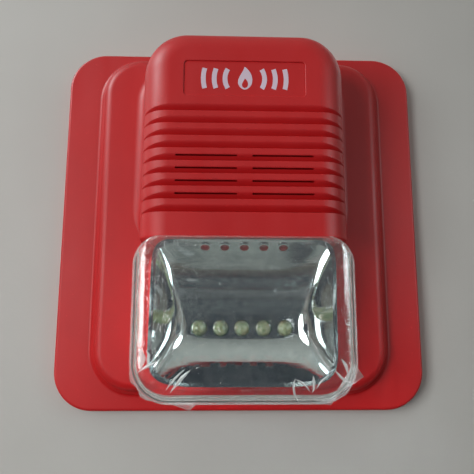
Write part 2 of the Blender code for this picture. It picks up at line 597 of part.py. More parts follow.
def squared_oval(half, top, bottom, top_squareness, bottom_squareness, steps=7):
    """Superellipse, anticlockwise from its right side, with its own squareness above and below its middle."""
    middle, reach = (top + bottom) / 2, (top - bottom) / 2
    points = []
    for quadrant in range(4):
        for step in range(steps):
            lean = 2 * step / steps - 1
            turn = (1 + lean * sqrt(abs(lean))) / 2
            across, along = (1 - turn, turn) if quadrant % 2 == 0 else (turn, 1 - turn)
            power = top_squareness if quadrant < 2 else bottom_squareness
            size = (across ** power + along ** power) ** (-1 / power)
            x_side, y_side = (1 if quadrant in (0, 3) else -1), (1 if quadrant < 2 else -1)
            points.append((x_side * half * size * across, middle + y_side * reach * size * along))
    return points


def bowl_loop(share, grow=0.0, drop=0.0):
    """Points round the bowl at a share of the way from its floor to its sloping rim, moved outwards by grow
    and back by drop."""
    top = between(BOWL_FLOOR_TOP, BOWL_RIM_TOP, share) + grow
    bottom = between(BOWL_FLOOR_BOTTOM, BOWL_RIM_BOTTOM, share) - grow
    half_top = between(BOWL_FLOOR_HALF, BOWL_RIM_TOP_HALF, share) + grow
    half_bottom = between(BOWL_FLOOR_HALF, BOWL_RIM_BOTTOM_HALF, share) + grow
    loop = []
    for x, y in squared_oval(half_top, top, bottom, between(BOWL_FLOOR_SQUARENESS, BOWL_TOP_SQUARENESS, share),
                             between(BOWL_FLOOR_SQUARENESS, BOWL_BOTTOM_SQUARENESS, share)):
        down = (top - y) / (top - bottom)
        rim = between(BOWL_RIM_BOTTOM_Z, BOWL_RIM_TOP_Z, max(0.0, 1 - down) ** BOWL_RIM_DIP)
        rise = (rim - BOWL_FLOOR) * share ** between(BOWL_TOP_POWER, BOWL_BOTTOM_POWER, down)
        x *= between(half_top, half_bottom, down) / half_top
        loop.append((x, min(y, BOWL_TOP_LIMIT), BOWL_FLOOR + rise - drop))
    return loop


def reflector(unit):
    steps = 8
    shares = [step / steps for step in range(steps + 1)]
    loops = [bowl_loop(0, BOWL_WALL * 0.5, BOWL_WALL)]
    loops += [bowl_loop(share, BOWL_WALL, BOWL_WALL * 0.9) for share in shares[1:]]
    loops.append(bowl_loop(1, BOWL_WALL + BOWL_LIP, BOWL_WALL * 0.5))
    loops.append(bowl_loop(1, BOWL_WALL + BOWL_LIP))
    loops += [bowl_loop(share) for share in reversed(shares)]
    bowl = add("reflector", skin_mesh("reflector", loops), CHROME, parent=unit)
    share = (LED_SCREW_X - BOWL_FLOOR_HALF) / (BOWL_RIM_TOP_HALF - BOWL_FLOOR_HALF)
    post_top = between(BOWL_FLOOR, BOWL_RIM_BOTTOM_Z, share ** 2) - BOWL_WALL * 0.8
    for number, x in enumerate((-LED_SCREW_X, LED_SCREW_X), 1):
        foot = (x, LED_LINE_Y, LED_BOARD_BACK + BOARD_THICK + GAP)
        join(bowl, rod(f"reflector_post_{number}", 2.3 * MM, foot, (x, LED_LINE_Y, post_top)))
        cut(bowl, rod(f"post_pilot_{number}", PILOT_RADIUS, (x, LED_LINE_Y, 10 * MM),
                      (x, LED_LINE_Y, 21.3 * MM), sides=12))
    for number, x in enumerate(LED_XS, 1):
        cut(bowl, rod(f"led_opening_{number}", LED_RADIUS + GAP, (x, LED_LINE_Y, 15 * MM),
                      (x, LED_LINE_Y, 24 * MM), sides=16))
        cut(bowl, vent_tool(number, (number - 3) * VENT_PITCH))
    return bowl


def bowl_point(share):
    """Point up the middle of the bowl's top wall."""
    rise = (BOWL_RIM_TOP_Z - BOWL_FLOOR) * share ** BOWL_TOP_POWER
    return Vector((0, between(BOWL_FLOOR_TOP, BOWL_RIM_TOP, share), BOWL_FLOOR + rise))


def vent_tool(number, x):
    """Cutter for one small hole in the bowl's top wall, square to the wall."""
    slope = (bowl_point(VENT_SHARE + 0.01) - bowl_point(VENT_SHARE - 0.01)).normalized()
    out = Vector((0, -slope.z, slope.y)) * 3 * MM
    middle = bowl_point(VENT_SHARE) + Vector((x, 0, 0))
    return rod(f"vent_opening_{number}", VENT_RADIUS, middle - out, middle + out, sides=14)


def leds(unit):
    dome = [(LED_RADIUS * sin(pi / 2 * step / 4), LED_DOME_BASE + LED_RADIUS * cos(pi / 2 * step / 4))
            for step in range(5)]
    profile = dome + [(LED_RADIUS, 1 * MM), (2.75 * MM, 1 * MM), (2.75 * MM, 0), (0, 0)]
    for number, x in enumerate(LED_XS, 1):
        turned(f"led_{number}", profile, (x, LED_LINE_Y, LED_BASE), EPOXY, unit, steps=14)


def led_board(unit):
    back, front = LED_BOARD_BACK, LED_BOARD_BACK + BOARD_THICK
    border = outline(LED_BOARD_WIDTH, LED_BOARD_HEIGHT, 1.5 * MM, centre_y=LED_LINE_Y, steps=3)
    holes = [circle(CLEARANCE_RADIUS, x, LED_LINE_Y) for x in (-LED_SCREW_X, LED_SCREW_X)]
    plate("led_board", [border, *holes], back, front, BOARD, unit)
    for number, x in enumerate((-8.5 * MM, 8.5 * MM), 1):
        box(f"led_resistor_{number}", (x - 1.6 * MM, LED_LINE_Y - 0.8 * MM, back - GAP - 0.6 * MM),
            (x + 1.6 * MM, LED_LINE_Y + 0.8 * MM, back - GAP), BLACK, unit, edge=0.1 * MM)


# ---------------------------------------------------------------- screws

def screw(name, x, y, head_front, length, parent):
    """Cross-head screw driven from behind: its head's bearing face is at height head_front."""
    head_back = -SCREW_HEAD_HEIGHT
    profile = [(0, length), (SCREW_SHANK, length - 1 * MM), (SCREW_SHANK, 0), (SCREW_HEAD, 0),
               (SCREW_HEAD, head_back * 0.45), (SCREW_HEAD * 0.6, head_back), (0, head_back)]
    made = turned(name, profile, (x, y, head_front), STEEL, parent, steps=12)
    wide, narrow = 1.3 * MM, 0.25 * MM
    for side, (half_x, half_y) in enumerate(((wide, narrow), (narrow, wide)), 1):
        low = (x - half_x, y - half_y, head_front + head_back - 1 * MM)
        cut(made, box(f"{name}_cross_{side}", low, (x + half_x, y + half_y, head_front + head_back * 0.4)))
    return made


def screws(unit):
    for number, (x, y) in enumerate(BOARD_SCREWS, 1):
        screw(f"board_screw_{number}", x, y, BOARD_BACK - GAP, 9 * MM, unit)
    for number, x in enumerate((-LED_SCREW_X, LED_SCREW_X), 1):
        screw(f"reflector_screw_{number}", x, LED_LINE_Y, PLINTH_TOP - 2.2 * MM - GAP, 11 * MM, unit)
    for number, x in enumerate((-SOUNDER_EAR_X, SOUNDER_EAR_X), 1):
        screw(f"sounder_screw_{number}", x, SOUNDER_Y, 31.1 * MM - GAP, 6 * MM, unit)


# ---------------------------------------------------------------- main board

def main_board(unit):
    border = tower_outline(BOARD_HALF, BOARD_TOP, BOARD_CORNER, bottom=BOARD_BOTTOM)
    holes = [circle(CLEARANCE_RADIUS, x, y) for x, y in BOARD_SCREWS]
    plate("main_board", [border, *holes], BOARD_BACK, BOARD_FRONT, BOARD, unit)


def terminals(unit):
    top = BOARD_BACK - GAP
    bottom = top - 9.4 * MM
    half = TERMINAL_COUNT * TERMINAL_PITCH / 2
    block = box("terminal_block", (-half, TERMINAL_Y - 5 * MM, bottom), (half, TERMINAL_Y + 5 * MM, top),
                GREEN, unit)
    for number in range(1, TERMINAL_COUNT + 1):
        x = (number - (TERMINAL_COUNT + 1) / 2) * TERMINAL_PITCH
        cut(block, box(f"wire_entry_{number}", (x - 1.7 * MM, TERMINAL_Y + 0.4 * MM, top - 5.6 * MM),
                       (x + 1.7 * MM, TERMINAL_Y + 8 * MM, top - 1.8 * MM)))
        y = TERMINAL_Y - 1.4 * MM
        cut(block, rod(f"screw_well_{number}", 2.05 * MM, (x, y, bottom - 1 * MM), (x, y, bottom + 3.4 * MM)))
        head = rod(f"terminal_screw_{number}", 1.7 * MM, (x, y, bottom + 0.9 * MM), (x, y, bottom + 3.1 * MM),
                   STEEL, unit)
        cut(head, box(f"terminal_slot_{number}", (x - 2 * MM, y - 0.35 * MM, bottom),
                      (x + 2 * MM, y + 0.35 * MM, bottom + 1.7 * MM)))


def switches(unit):
    x0, y0 = SWITCH_PLACE
    top = BOARD_BACK - GAP
    bottom = top - 3.6 * MM
    half = SWITCH_COUNT * SWITCH_PITCH / 2 + 1.1 * MM
    body = box("dip_switch", (x0 - half, y0 - 3.1 * MM, bottom), (x0 + half, y0 + 3.1 * MM, top), BLUE, unit)
    knob = 1.2 * MM
    for number in range(1, SWITCH_COUNT + 1):
        x = x0 + (number - (SWITCH_COUNT + 1) / 2) * SWITCH_PITCH
        slot_half = (SWITCH_TRAVEL + knob) / 2 + 0.15 * MM
        cut(body, box(f"slider_slot_{number}", (x - 0.8 * MM, y0 - slot_half, bottom - 1 * MM),
                      (x + 0.8 * MM, y0 + slot_half, bottom + 1.6 * MM)))
        name = f"dip_slider_{number}"
        shape = box_mesh(name, (-0.5 * MM, -knob / 2, -1.1 * MM), (0.5 * MM, knob / 2, 1.0 * MM))
        slider = add(name, shape, WHITE, at=(x, y0 - SWITCH_TRAVEL / 2, bottom + GAP), parent=unit)
        bevel = slider.modifiers.new("edge", "BEVEL")
        bevel.width = 0.12 * MM
        bevel.segments = 1


def trimmer(unit):
    x, y = TRIMMER_PLACE
    top = BOARD_BACK - GAP
    bottom = top - 4.6 * MM
    half = 3.4 * MM
    body = box("volume_trimmer", (x - half, y - half, bottom), (x + half, y + half, top), BLUE, unit)
    cut(body, rod("trimmer_well", 2.7 * MM, (x, y, bottom - 1 * MM), (x, y, bottom + 1.5 * MM), sides=24))
    rotor = turned("trimmer_rotor", [(0, 0.9 * MM), (2.35 * MM, 0.9 * MM), (2.35 * MM, -0.7 * MM),
                                     (2.1 * MM, -0.95 * MM), (0, -0.95 * MM)],
                   (x, y, bottom + 0.3 * MM), WHITE, unit, steps=24)
    cut(rotor, box("rotor_slot", (x - 1.7 * MM, y - 0.4 * MM, bottom - 2 * MM),
                   (x + 1.7 * MM, y + 0.4 * MM, bottom + 0.35 * MM)))


def small_parts(unit):
    front = BOARD_FRONT + GAP
    can = [(0, 11.5), (3.6, 11.5), (4, 11.1), (4, 1.6), (3.7, 1.3), (4, 1), (4, 0), (0, 0)]
    drum = [(0, 8.5), (4.2, 8.5), (4.2, 7.4), (3.4, 7.2), (3.4, 1.3), (4.2, 1.1), (4.2, 0), (0, 0)]
    for name, profile, wide, tall, place, finish in (
            ("bulk_capacitor", can, 1, 1, BULK_CAPACITOR_PLACE, CAN),
            ("filter_capacitor", can, 0.78, 0.62, FILTER_CAPACITOR_PLACE, CAN),
            ("boost_inductor", drum, 1, 1, INDUCTOR_PLACE, COPPER),
            ("sounder_coil", drum, 1, 1.15, COIL_PLACE, COPPER)):
        points = [(r * wide * MM, z * tall * MM) for r, z in profile]
        turned(name, points, (*place, front), finish, unit)
    block("drive_transistor", TRANSISTOR_PLACE, (4.8 * MM, 3.6 * MM), front, front + 5 * MM, 0.5 * MM, unit)
    back = BOARD_BACK - GAP
    block("controller_chip", CHIP_PLACE, (8.7 * MM, 4 * MM), back - 1.5 * MM, back, 0.2 * MM, unit)
    x, y = DIODE_PLACE
    radius = 1.35 * MM
    ends = (x - 2.6 * MM, y, back - radius - GAP), (x + 2.6 * MM, y, back - radius - GAP)
    rod("polarity_diode", radius, *ends, BLACK, unit, sides=16)
    led_socket(unit, back)
    sounder_socket(unit, front)


def block(name, place, size, low_z, high_z, edge, unit):
    """Moulded black package of an electronic part."""
    (x, y), (width, height) = place, size
    low, high = (x - width / 2, y - height / 2, low_z), (x + width / 2, y + height / 2, high_z)
    box(name, low, high, BLACK, unit, edge)


def led_socket(unit, back):
    """Two-way connector behind the board, whose wires leave it downwards."""
    x, y = LED_SOCKET_PLACE
    made = box("led_socket", (x - SOCKET_HALF, y - SOCKET_HALF, back - LED_SOCKET_DEPTH),
               (x + SOCKET_HALF, y + 4.5 * MM, back), WHITE, unit, edge=0.25 * MM)
    middle = back - LED_SOCKET_DEPTH / 2
    for side in (-1, 1):
        hole_x = x + side * SOCKET_PITCH / 2
        cut(made, rod(f"led_socket_hole_{side}", 0.95 * MM, (hole_x, y - SOCKET_HALF - 1 * MM, middle),
                      (hole_x, y - SOCKET_HALF + 2 * MM, middle), sides=12))


def sounder_socket(unit, front):
    """Two-way connector in front of the board, whose wires leave it forwards."""
    x, y = SOUNDER_SOCKET_PLACE
    top = front + SOUNDER_SOCKET_DEPTH
    made = box("sounder_socket", (x - SOCKET_HALF, y - 2.9 * MM, front), (x + SOCKET_HALF, y + 2.9 * MM, top),
               WHITE, unit, edge=0.25 * MM)
    for side in (-1, 1):
        hole_x = x + side * SOCKET_PITCH / 2
        cut(made, rod(f"sounder_socket_hole_{side}", 0.95 * MM, (hole_x, y, top + 1 * MM),
                      (hole_x, y, top - 2 * MM), sides=12))


# ---------------------------------------------------------------- sounder

def sounder(unit):
    centre = (0, SOUNDER_Y, 0)
    turned("sounder_gasket", [(18.9 * MM, CAVITY_FRONT - GAP), (18.9 * MM, SOUNDER_FACE + GAP),
                              (16.6 * MM, SOUNDER_FACE + GAP), (16.6 * MM, CAVITY_FRONT - GAP)],
           centre, FOAM, unit, steps=32)
    inner, ledge, lead_hole = 17.7 * MM, 15.4 * MM, 3 * MM
    disc_z = 30 * MM
    seat_z, floor_z = disc_z - GAP, SOUNDER_BACK + 1.4 * MM
    case = turned("sounder_case", [(SOUNDER_RADIUS, SOUNDER_FACE), (SOUNDER_RADIUS, SOUNDER_BACK),
                                   (lead_hole, SOUNDER_BACK), (lead_hole, floor_z), (ledge, floor_z),
                                   (ledge, seat_z), (inner, seat_z), (inner, SOUNDER_FACE)],
                  centre, BLACK, unit, steps=32)
    for number, side in enumerate((-1, 1), 1):
        ends = sorted((side * 18.5 * MM, side * (SOUNDER_EAR_X + 2.8 * MM)))
        ear = box(f"sounder_ear_{number}", (ends[0], SOUNDER_Y - 3 * MM, 31.1 * MM),
                  (ends[1], SOUNDER_Y + 3 * MM, 32.6 * MM))
        join(case, ear)
        x = side * SOUNDER_EAR_X
        hole_ends = (x, SOUNDER_Y, 28 * MM), (x, SOUNDER_Y, 35 * MM)
        cut(case, rod(f"ear_hole_{number}", 1.4 * MM, *hole_ends, sides=12))
    turned("sounder_diaphragm", [(0, disc_z + 0.3 * MM), (17.3 * MM, disc_z + 0.3 * MM), (17.3 * MM, disc_z),
                                 (0, disc_z)], centre, BRASS, unit, steps=32)
    element = disc_z + 0.3 * MM + GAP
    turned("sounder_element", [(0, element + 0.25 * MM), (11 * MM, element + 0.25 * MM), (11 * MM, element),
                               (0, element)], centre, CERAMIC, unit, steps=28)
    horn_back = disc_z + 1.4 * MM
    turned("sounder_horn", [(17.3 * MM, SOUNDER_FACE - GAP), (17.3 * MM, horn_back), (13 * MM, horn_back),
                            (13 * MM, horn_back + 0.8 * MM), (5 * MM, horn_back + 0.8 * MM),
                            (5 * MM, horn_back + 1.8 * MM), (9 * MM, horn_back + 2.6 * MM),
                            (15.8 * MM, SOUNDER_FACE - GAP)], centre, BLACK, unit, steps=32)


# ---------------------------------------------------------------- wiring

def wiring(unit):
    """Two leads from the board to the LED strip and two to the sounder, held at both ends."""
    led_x, led_y = LED_SOCKET_PLACE
    exit_y = led_y - SOCKET_HALF - GAP
    exit_z = BOARD_BACK - GAP - LED_SOCKET_DEPTH / 2
    plug_x, plug_y = SOUNDER_SOCKET_PLACE
    plug_top = BOARD_FRONT + 2 * GAP + SOUNDER_SOCKET_DEPTH
    for side, finish, colour in ((-1, RED_WIRE, "red"), (1, BLACK_WIRE, "black")):
        start_x = led_x + side * SOCKET_PITCH / 2
        end_x = side * 1.6 * MM
        led_route = [(start_x, exit_y, exit_z), (start_x, exit_y - 3 * MM, exit_z - 0.5 * MM),
                     (start_x + 0.6 * MM, -8 * MM, 8.2 * MM), (start_x + 2.5 * MM, -17 * MM, 7.4 * MM),
                     (start_x * 0.45 + end_x * 0.5, -28 * MM, 6.9 * MM), (end_x, -36 * MM, 7.2 * MM),
                     (end_x, LED_LINE_Y + 0.6 * MM, 9.2 * MM), (end_x, LED_LINE_Y, LED_BOARD_BACK - GAP)]
        wire(f"led_lead_{colour}", led_route, WIRE_RADIUS, finish, unit)
        x = plug_x + side * SOCKET_PITCH / 2
        case_x = side * 1.2 * MM
        sounder_route = [(x, plug_y, plug_top), (x, plug_y - 0.4 * MM, plug_top + 2 * MM),
                         (x - 1 * MM, 42.5 * MM, plug_top + 2.2 * MM), (x - 3 * MM, 37 * MM, 21.6 * MM),
                         (side * 1.4 * MM + 4 * MM, 26 * MM, 20.2 * MM),
                         (case_x, SOUNDER_Y + 1.6 * MM, 22.4 * MM), (case_x, SOUNDER_Y, SOUNDER_BACK - GAP)]
        wire(f"sounder_lead_{colour}", sounder_route, WIRE_RADIUS, finish, unit)


# ---------------------------------------------------------------- wall base

def mounting_base():
    border = base_outline(0)
    slots = [wall_slot(x, y, WALL_SLOT_LENGTH, WALL_SLOT_WIDTH) for x, y in LEVEL_SLOTS]
    slots += [wall_slot(x, y, WALL_SLOT_WIDTH, WALL_SLOT_LENGTH) for x, y in UPRIGHT_SLOTS]
    base = meshed(plate("mounting_base", [border, cable_outline(0), *slots], 0, BASE_FLOOR, BASE_RED))
    foot = BASE_FLOOR - 1 * MM
    join(base, meshed(plate("base_rib", [border, base_outline(BASE_RIB_WIDTH)], foot, BASE_RIB)),
         meshed(plate("cable_collar", [cable_outline(1.5 * MM), cable_outline(0)], foot, BASE_RIB)))
    for number, x in enumerate((-STIFFENER_X, STIFFENER_X), 1):
        join(base, box(f"stiffener_{number}", (x - BASE_RIB_WIDTH / 2, -60 * MM, 1 * MM),
                       (x + BASE_RIB_WIDTH / 2, 58 * MM, BASE_RIB)))
    for number, x in enumerate((-HINGE_X, HINGE_X), 1):
        add_hinge_pin(base, number, x)
    return base


def base_outline(inset):
    return outline(BASE_WIDTH - 2 * inset, BASE_HEIGHT - 2 * inset, BASE_CORNER - inset)


def cable_outline(grow):
    return outline(CABLE_WAY_WIDTH + 2 * grow, CABLE_WAY_HEIGHT + 2 * grow, CABLE_WAY_CORNER + grow,
                   centre_y=CABLE_WAY_Y, steps=4)


def add_hinge_pin(base, number, x):
    """Notch in the base's top edge with a pin across it, held by an ear at each side."""
    half, ear = EYE_WIDTH / 2 + 0.5 * MM, 1.6 * MM
    cut(base, box(f"hook_notch_{number}", (x - half, HINGE_Y - 2.6 * MM, -1 * MM),
                  (x + half, BASE_HEIGHT / 2 + 1 * MM, BASE_RIB + 1 * MM)))
    for side in (-1, 1):
        ends = sorted((x + side * half, x + side * (half + ear)))
        join(base, box(f"pin_ear_{number}_{side}", (ends[0], HINGE_Y - 1.5 * MM, 0.5 * MM),
                       (ends[1], HINGE_Y + 1.5 * MM, BASE_RIB)))
    reach = half + ear / 2
    join(base, rod(f"hinge_pin_{number}", PIN_RADIUS, (x - reach, HINGE_Y, HINGE_Z),
                   (x + reach, HINGE_Y, HINGE_Z), sides=16))


def wall_slot(x, y, width, height):
    """Outline of a round-ended slot for a 4 mm wall screw."""
    radius = WALL_SLOT_WIDTH / 2 - 0.01 * MM
    return [(x + px, y + py) for px, py in outline(width, height, radius, steps=4)]


clear_scene()
PARTS = new_collection("horn_strobe")
CUTTERS = new_collection("cutters")
ASSEMBLY = empty("horn_strobe_assembly")
ASSEMBLY.rotation_euler = (pi / 2, 0, 0)
FRONT_UNIT = empty("front_unit_pivot", (0, HINGE_Y, HINGE_Z), ASSEMBLY)

mounting_base()
front_housing(FRONT_UNIT)
strobe_lens(FRONT_UNIT)
protective_film(FRONT_UNIT)
reflector(FRONT_UNIT)
leds(FRONT_UNIT)
led_board(FRONT_UNIT)
main_board(FRONT_UNIT)
terminals(FRONT_UNIT)
switches(FRONT_UNIT)
trimmer(FRONT_UNIT)
small_parts(FRONT_UNIT)
sounder(FRONT_UNIT)
screws(FRONT_UNIT)
wiring(FRONT_UNIT)
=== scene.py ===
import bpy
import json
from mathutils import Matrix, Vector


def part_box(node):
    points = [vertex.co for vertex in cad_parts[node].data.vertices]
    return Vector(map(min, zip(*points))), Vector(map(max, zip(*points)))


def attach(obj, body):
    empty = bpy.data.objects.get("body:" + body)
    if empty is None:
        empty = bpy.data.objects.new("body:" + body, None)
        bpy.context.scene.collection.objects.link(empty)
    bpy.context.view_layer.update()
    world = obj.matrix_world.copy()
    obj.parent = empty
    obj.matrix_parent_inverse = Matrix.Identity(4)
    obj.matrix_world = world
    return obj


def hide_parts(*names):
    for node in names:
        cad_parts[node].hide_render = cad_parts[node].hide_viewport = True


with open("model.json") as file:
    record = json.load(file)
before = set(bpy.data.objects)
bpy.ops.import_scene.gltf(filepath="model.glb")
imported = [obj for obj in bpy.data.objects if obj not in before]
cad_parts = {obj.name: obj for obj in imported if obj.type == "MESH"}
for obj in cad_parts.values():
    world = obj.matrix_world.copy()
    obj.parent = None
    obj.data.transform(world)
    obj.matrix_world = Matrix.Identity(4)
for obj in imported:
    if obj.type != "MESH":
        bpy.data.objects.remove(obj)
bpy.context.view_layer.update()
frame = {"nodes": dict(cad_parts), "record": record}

import json
from math import cos, pi, radians, sin, sqrt

import bmesh
import bpy
from mathutils import Matrix, Vector, noise

# The looks of the horn strobe. Every mesh is laid out in the wall frame, with X to the right, Y up the wall
# and Z out of the wall, and is then stood upright: the frame's (x, y, z) is the wall frame's (x, -z, y).

MM = 0.001
STAND = Matrix.Rotation(pi / 2, 4, "X")
SCENE = bpy.context.scene


def wall_box(node):
    """(lowest, highest) corner of a CAD node in the wall frame."""
    low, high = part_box(node)
    return Vector((low.x, low.z, -high.y)), Vector((high.x, high.z, -low.y))


def between(start, end, share):
    return start + (end - start) * share


def quarter(steps, first=0):
    """Angles of a quarter turn in equal steps, from 0 or from a later step."""
    return [pi / 2 * step / steps for step in range(first, steps + 1)]


def rolled(radius, steps, first=0):
    """(how far in, how far below the top) of points along a rounded edge, from its wall to its face."""
    return [(radius * (1 - cos(angle)), radius * (1 - sin(angle))) for angle in quarter(steps, first)]


HOUSING_LOW, HOUSING_HIGH = wall_box("front_housing")
LENS_LOW, LENS_HIGH = wall_box("strobe_lens")
BOWL_LOW, BOWL_HIGH = wall_box("reflector")
LED_LOW, LED_HIGH = wall_box("led_3")
FILM_HIGH = wall_box("protective_film")[1]
BASE_LOW, BASE_HIGH = wall_box("mounting_base")
BOARD_HIGH = wall_box("main_board")[1]

# Front housing
PLATE_WIDTH = HOUSING_HIGH.x - HOUSING_LOW.x
PLATE_HEIGHT = 142 * MM
SKIRT_BACK, PLATE_FACE = HOUSING_LOW.z, 6 * MM
PLATE_CORNER, PLATE_DRAFT, PLATE_EDGE = 15 * MM, 0.5 * MM, 1.2 * MM
SHELL_WALL, PLINTH_WALL = 2.0 * MM, 2.2 * MM
PLINTH_WIDTH, PLINTH_HEIGHT, PLINTH_TOP = 111 * MM, 131 * MM, 12.5 * MM
PLINTH_CENTRE_Y, PLINTH_CORNER = 1.5 * MM, 16 * MM
PLINTH_DRAFT, PLINTH_EDGE, PLINTH_FILLET = 1.2 * MM, 3.8 * MM, 1.6 * MM
TOWER_FRONT, TOWER_BOTTOM, BOTTOM_EDGE = HOUSING_HIGH.z, -10.8 * MM, 0.7 * MM
TOWER_TOP_AT_FOOT, TOWER_TOP_AT_EDGE = 62.4 * MM, 61.2 * MM
TOWER_HALF_AT_FOOT, TOWER_HALF_AT_EDGE = 36.8 * MM, 34.6 * MM
TOWER_FOOT_FILLET, TOWER_SIDE_FILLET, TOWER_TOP_FILLET = 4.5 * MM, 10 * MM, 8 * MM
TOWER_CORNER, TOWER_FACE_CORNER, FLARE_FADE = 15 * MM, 6 * MM, 0.24
CAVITY_FRONT, CAVITY_HALF, CAVITY_TOP, CAVITY_BOTTOM = 37.8 * MM, 32.3 * MM, 58.9 * MM, -9 * MM
CAVITY_CORNER, CAVITY_FILLET = 13 * MM, 7.8 * MM
HINGE_Y, HINGE_Z, HINGE_X = 66.6 * MM, 2.15 * MM, 38 * MM
PIN_RADIUS, EYE_BORE, EYE_RADIUS, EYE_WIDTH = 0.75 * MM, 1.05 * MM, 1.85 * MM, 8 * MM
HOOK_ROOT_BELOW, HOOK_ROOT_ABOVE, HOOK_ROOT_BACK, HOOK_MOUTH = 1.3 * MM, 1.6 * MM, 1.1 * MM, 1.4 * MM
OPENING_DEG, RELIEF_HEIGHT = 25, 3.9 * MM
BOSS_RADIUS, PILOT_RADIUS = 3.2 * MM, 1.35 * MM
BOARD_SCREWS = [(side * x, y) for x, y in ((26.5 * MM, 49 * MM), (27 * MM, -3.8 * MM)) for side in (-1, 1)]
SOUNDER_SCREW_X, SOUNDER_SCREW_Y = 23 * MM, 16.5 * MM
SOUNDER_BOSS_RADIUS, SOUNDER_BOSS_FOOT = 2.7 * MM, 32.9 * MM

# Sound grooves and the recess above them
GROOVE_COUNT, GROOVE_PITCH, GROOVE_TOP_Y = 9, 4.24 * MM, 31.2 * MM
GROOVE_HEIGHT, GROOVE_DEPTH, GROOVE_LIP, GROOVE_CURVE = 2.5 * MM, 2.3 * MM, 0.25 * MM, 1.8
GROOVE_FOLLOW = 0.7
SLOTTED_GROOVES, SLOT_HEIGHT, SLOT_DROP = (4, 5, 6, 7), 0.5 * MM, 0.5 * MM
SLOT_INNER_X, SLOT_OUTER_X = 2.5 * MM, 22.5 * MM
RECESS_WIDTH, RECESS_HEIGHT, RECESS_DEPTH, RECESS_Y = 40.4 * MM, 12.2 * MM, 0.4 * MM, 42.6 * MM
WAVES, WAVE_WIDTH = [(7.4 * MM, 31), (11.0 * MM, 20), (14.6 * MM, 15)], 1.6 * MM
FLAME_CORE_SHARE, FLAME_CORE_DROP = 0.42, 1.7 * MM

# Strobe
LENS_FLARE, LENS_WALL, LENS_EDGE = 0.9 * MM, 1.4 * MM, 4.5 * MM
LENS_WIDTH = LENS_HIGH.x - LENS_LOW.x - 2 * LENS_FLARE
LENS_TOP, LENS_BOTTOM, LENS_FRONT = LENS_HIGH.y, -61.6 * MM, LENS_HIGH.z
LENS_TOP_CORNER, LENS_BOTTOM_CORNER, SEAT_MARGIN = 8 * MM, 12 * MM, 1.1 * MM
PEG_X, PEG_LENGTH, PEG_THICK, PEG_DEPTH = 18 * MM, 7 * MM, 1.2 * MM, 1.8 * MM
PEG_BOTTOM_Y, PEG_TOP_Y, GAP = LENS_BOTTOM + LENS_WALL / 2, LENS_TOP - LENS_WALL / 2, 0.3 * MM
BOWL_FLOOR, BOWL_WALL, BOWL_LIP, BOWL_TOP_LIMIT = 20 * MM, 0.9 * MM, 0.5 * MM, BOWL_HIGH.y
BOWL_FLOOR_HALF, BOWL_FLOOR_TOP, BOWL_FLOOR_BOTTOM = 18 * MM, -38.2 * MM, -43 * MM
BOWL_RIM_TOP_HALF, BOWL_RIM_BOTTOM_HALF = 28.1 * MM, 30.6 * MM
BOWL_RIM_TOP, BOWL_RIM_BOTTOM = -12 * MM, -57 * MM
BOWL_RIM_TOP_Z, BOWL_RIM_BOTTOM_Z, BOWL_RIM_DIP = 39.6 * MM, 29 * MM, 1.6
BOWL_FLOOR_SQUARENESS, BOWL_TOP_SQUARENESS, BOWL_BOTTOM_SQUARENESS = 4, 9, 6
BOWL_TOP_POWER, BOWL_BOTTOM_POWER = 2.3, 1.8
LED_LINE_Y = (LED_LOW.y + LED_HIGH.y) / 2
LED_PITCH, LED_RADIUS, LED_TOP = 7.5 * MM, 2.5 * MM, 6.5 * MM
LED_SCREW_X, LED_POST_RADIUS, LED_WINDOW_HALF, LED_WINDOW_UP = 23.5 * MM, 2.3 * MM, 6 * MM, 3 * MM
VENT_PITCH, VENT_RADIUS, VENT_RIM, VENT_SHARE = 6.3 * MM, 1.45 * MM, 0.55 * MM, 0.95
LED_XS = [(index - 2) * LED_PITCH for index in range(5)]
FILM_GROW, FILM_THICK, FILM_STEP = FILM_HIGH.z - LENS_FRONT, 0.15 * MM, 1.2 * MM
FILM_SIDE_DEPTHS = [depth * 0.45 * MM for depth in (8.2, 7.2, 6.0, 5.0, 4.0, 2.5, 1.2, 0.0)]
FILM_CORNER_X, FILM_CORNER_Y, FILM_CORNER_REACH = 30 * MM, -56 * MM, 9 * MM

# Creases, each as (width, start, bend, end) in mm, and ears as (corner, corner, tip, curl) in mm
CREASES = [
    (1.1, (-16.4, -51.4), (-19.0, -53.2), (-22.2, -58.0)),
    (0.7, (-18.0, -51.2), (-21.2, -53.6), (-23.6, -57.2)),
    (0.8, (-32.6, -52.4), (-29.2, -50.0), (-25.8, -48.6)),
    (1.8, (-31.8, -44.6), (-30.2, -47.6), (-31.4, -51.0)),
    (1.0, (-29.6, -45.4), (-28.2, -48.0), (-29.6, -50.4)),
    (0.9, (20.5, -53.1), (21.2, -55.2), (20.2, -58.0)),
    (0.7, (15.2, -53.8), (13.6, -57.2), (16.4, -61.0)),
    (0.6, (15.2, -54.2), (17.6, -54.8), (19.6, -57.6)),
    (0.6, (25.4, -53.1), (22.8, -54.2), (21.4, -56.9)),
    (1.0, (29.2, -48.2), (31.0, -49.8), (31.2, -53.0)),
    (0.8, (27.4, -51.4), (29.0, -54.2), (32.4, -55.4))]
EARS = [
    ((-25.5, -61.0, 37.0), (-14.6, -62.0, 37.4), (-17.0, -64.6, 34.5), 0.9),
    ((34.2, -49.5, 37.2), (29.4, -58.9, 37.0), (38.6, -54.6, 33.5), 1.3),
    ((30.5, -57.9, 37.2), (21.5, -61.8, 37.2), (27.6, -63.2, 34.0), 0.8)]

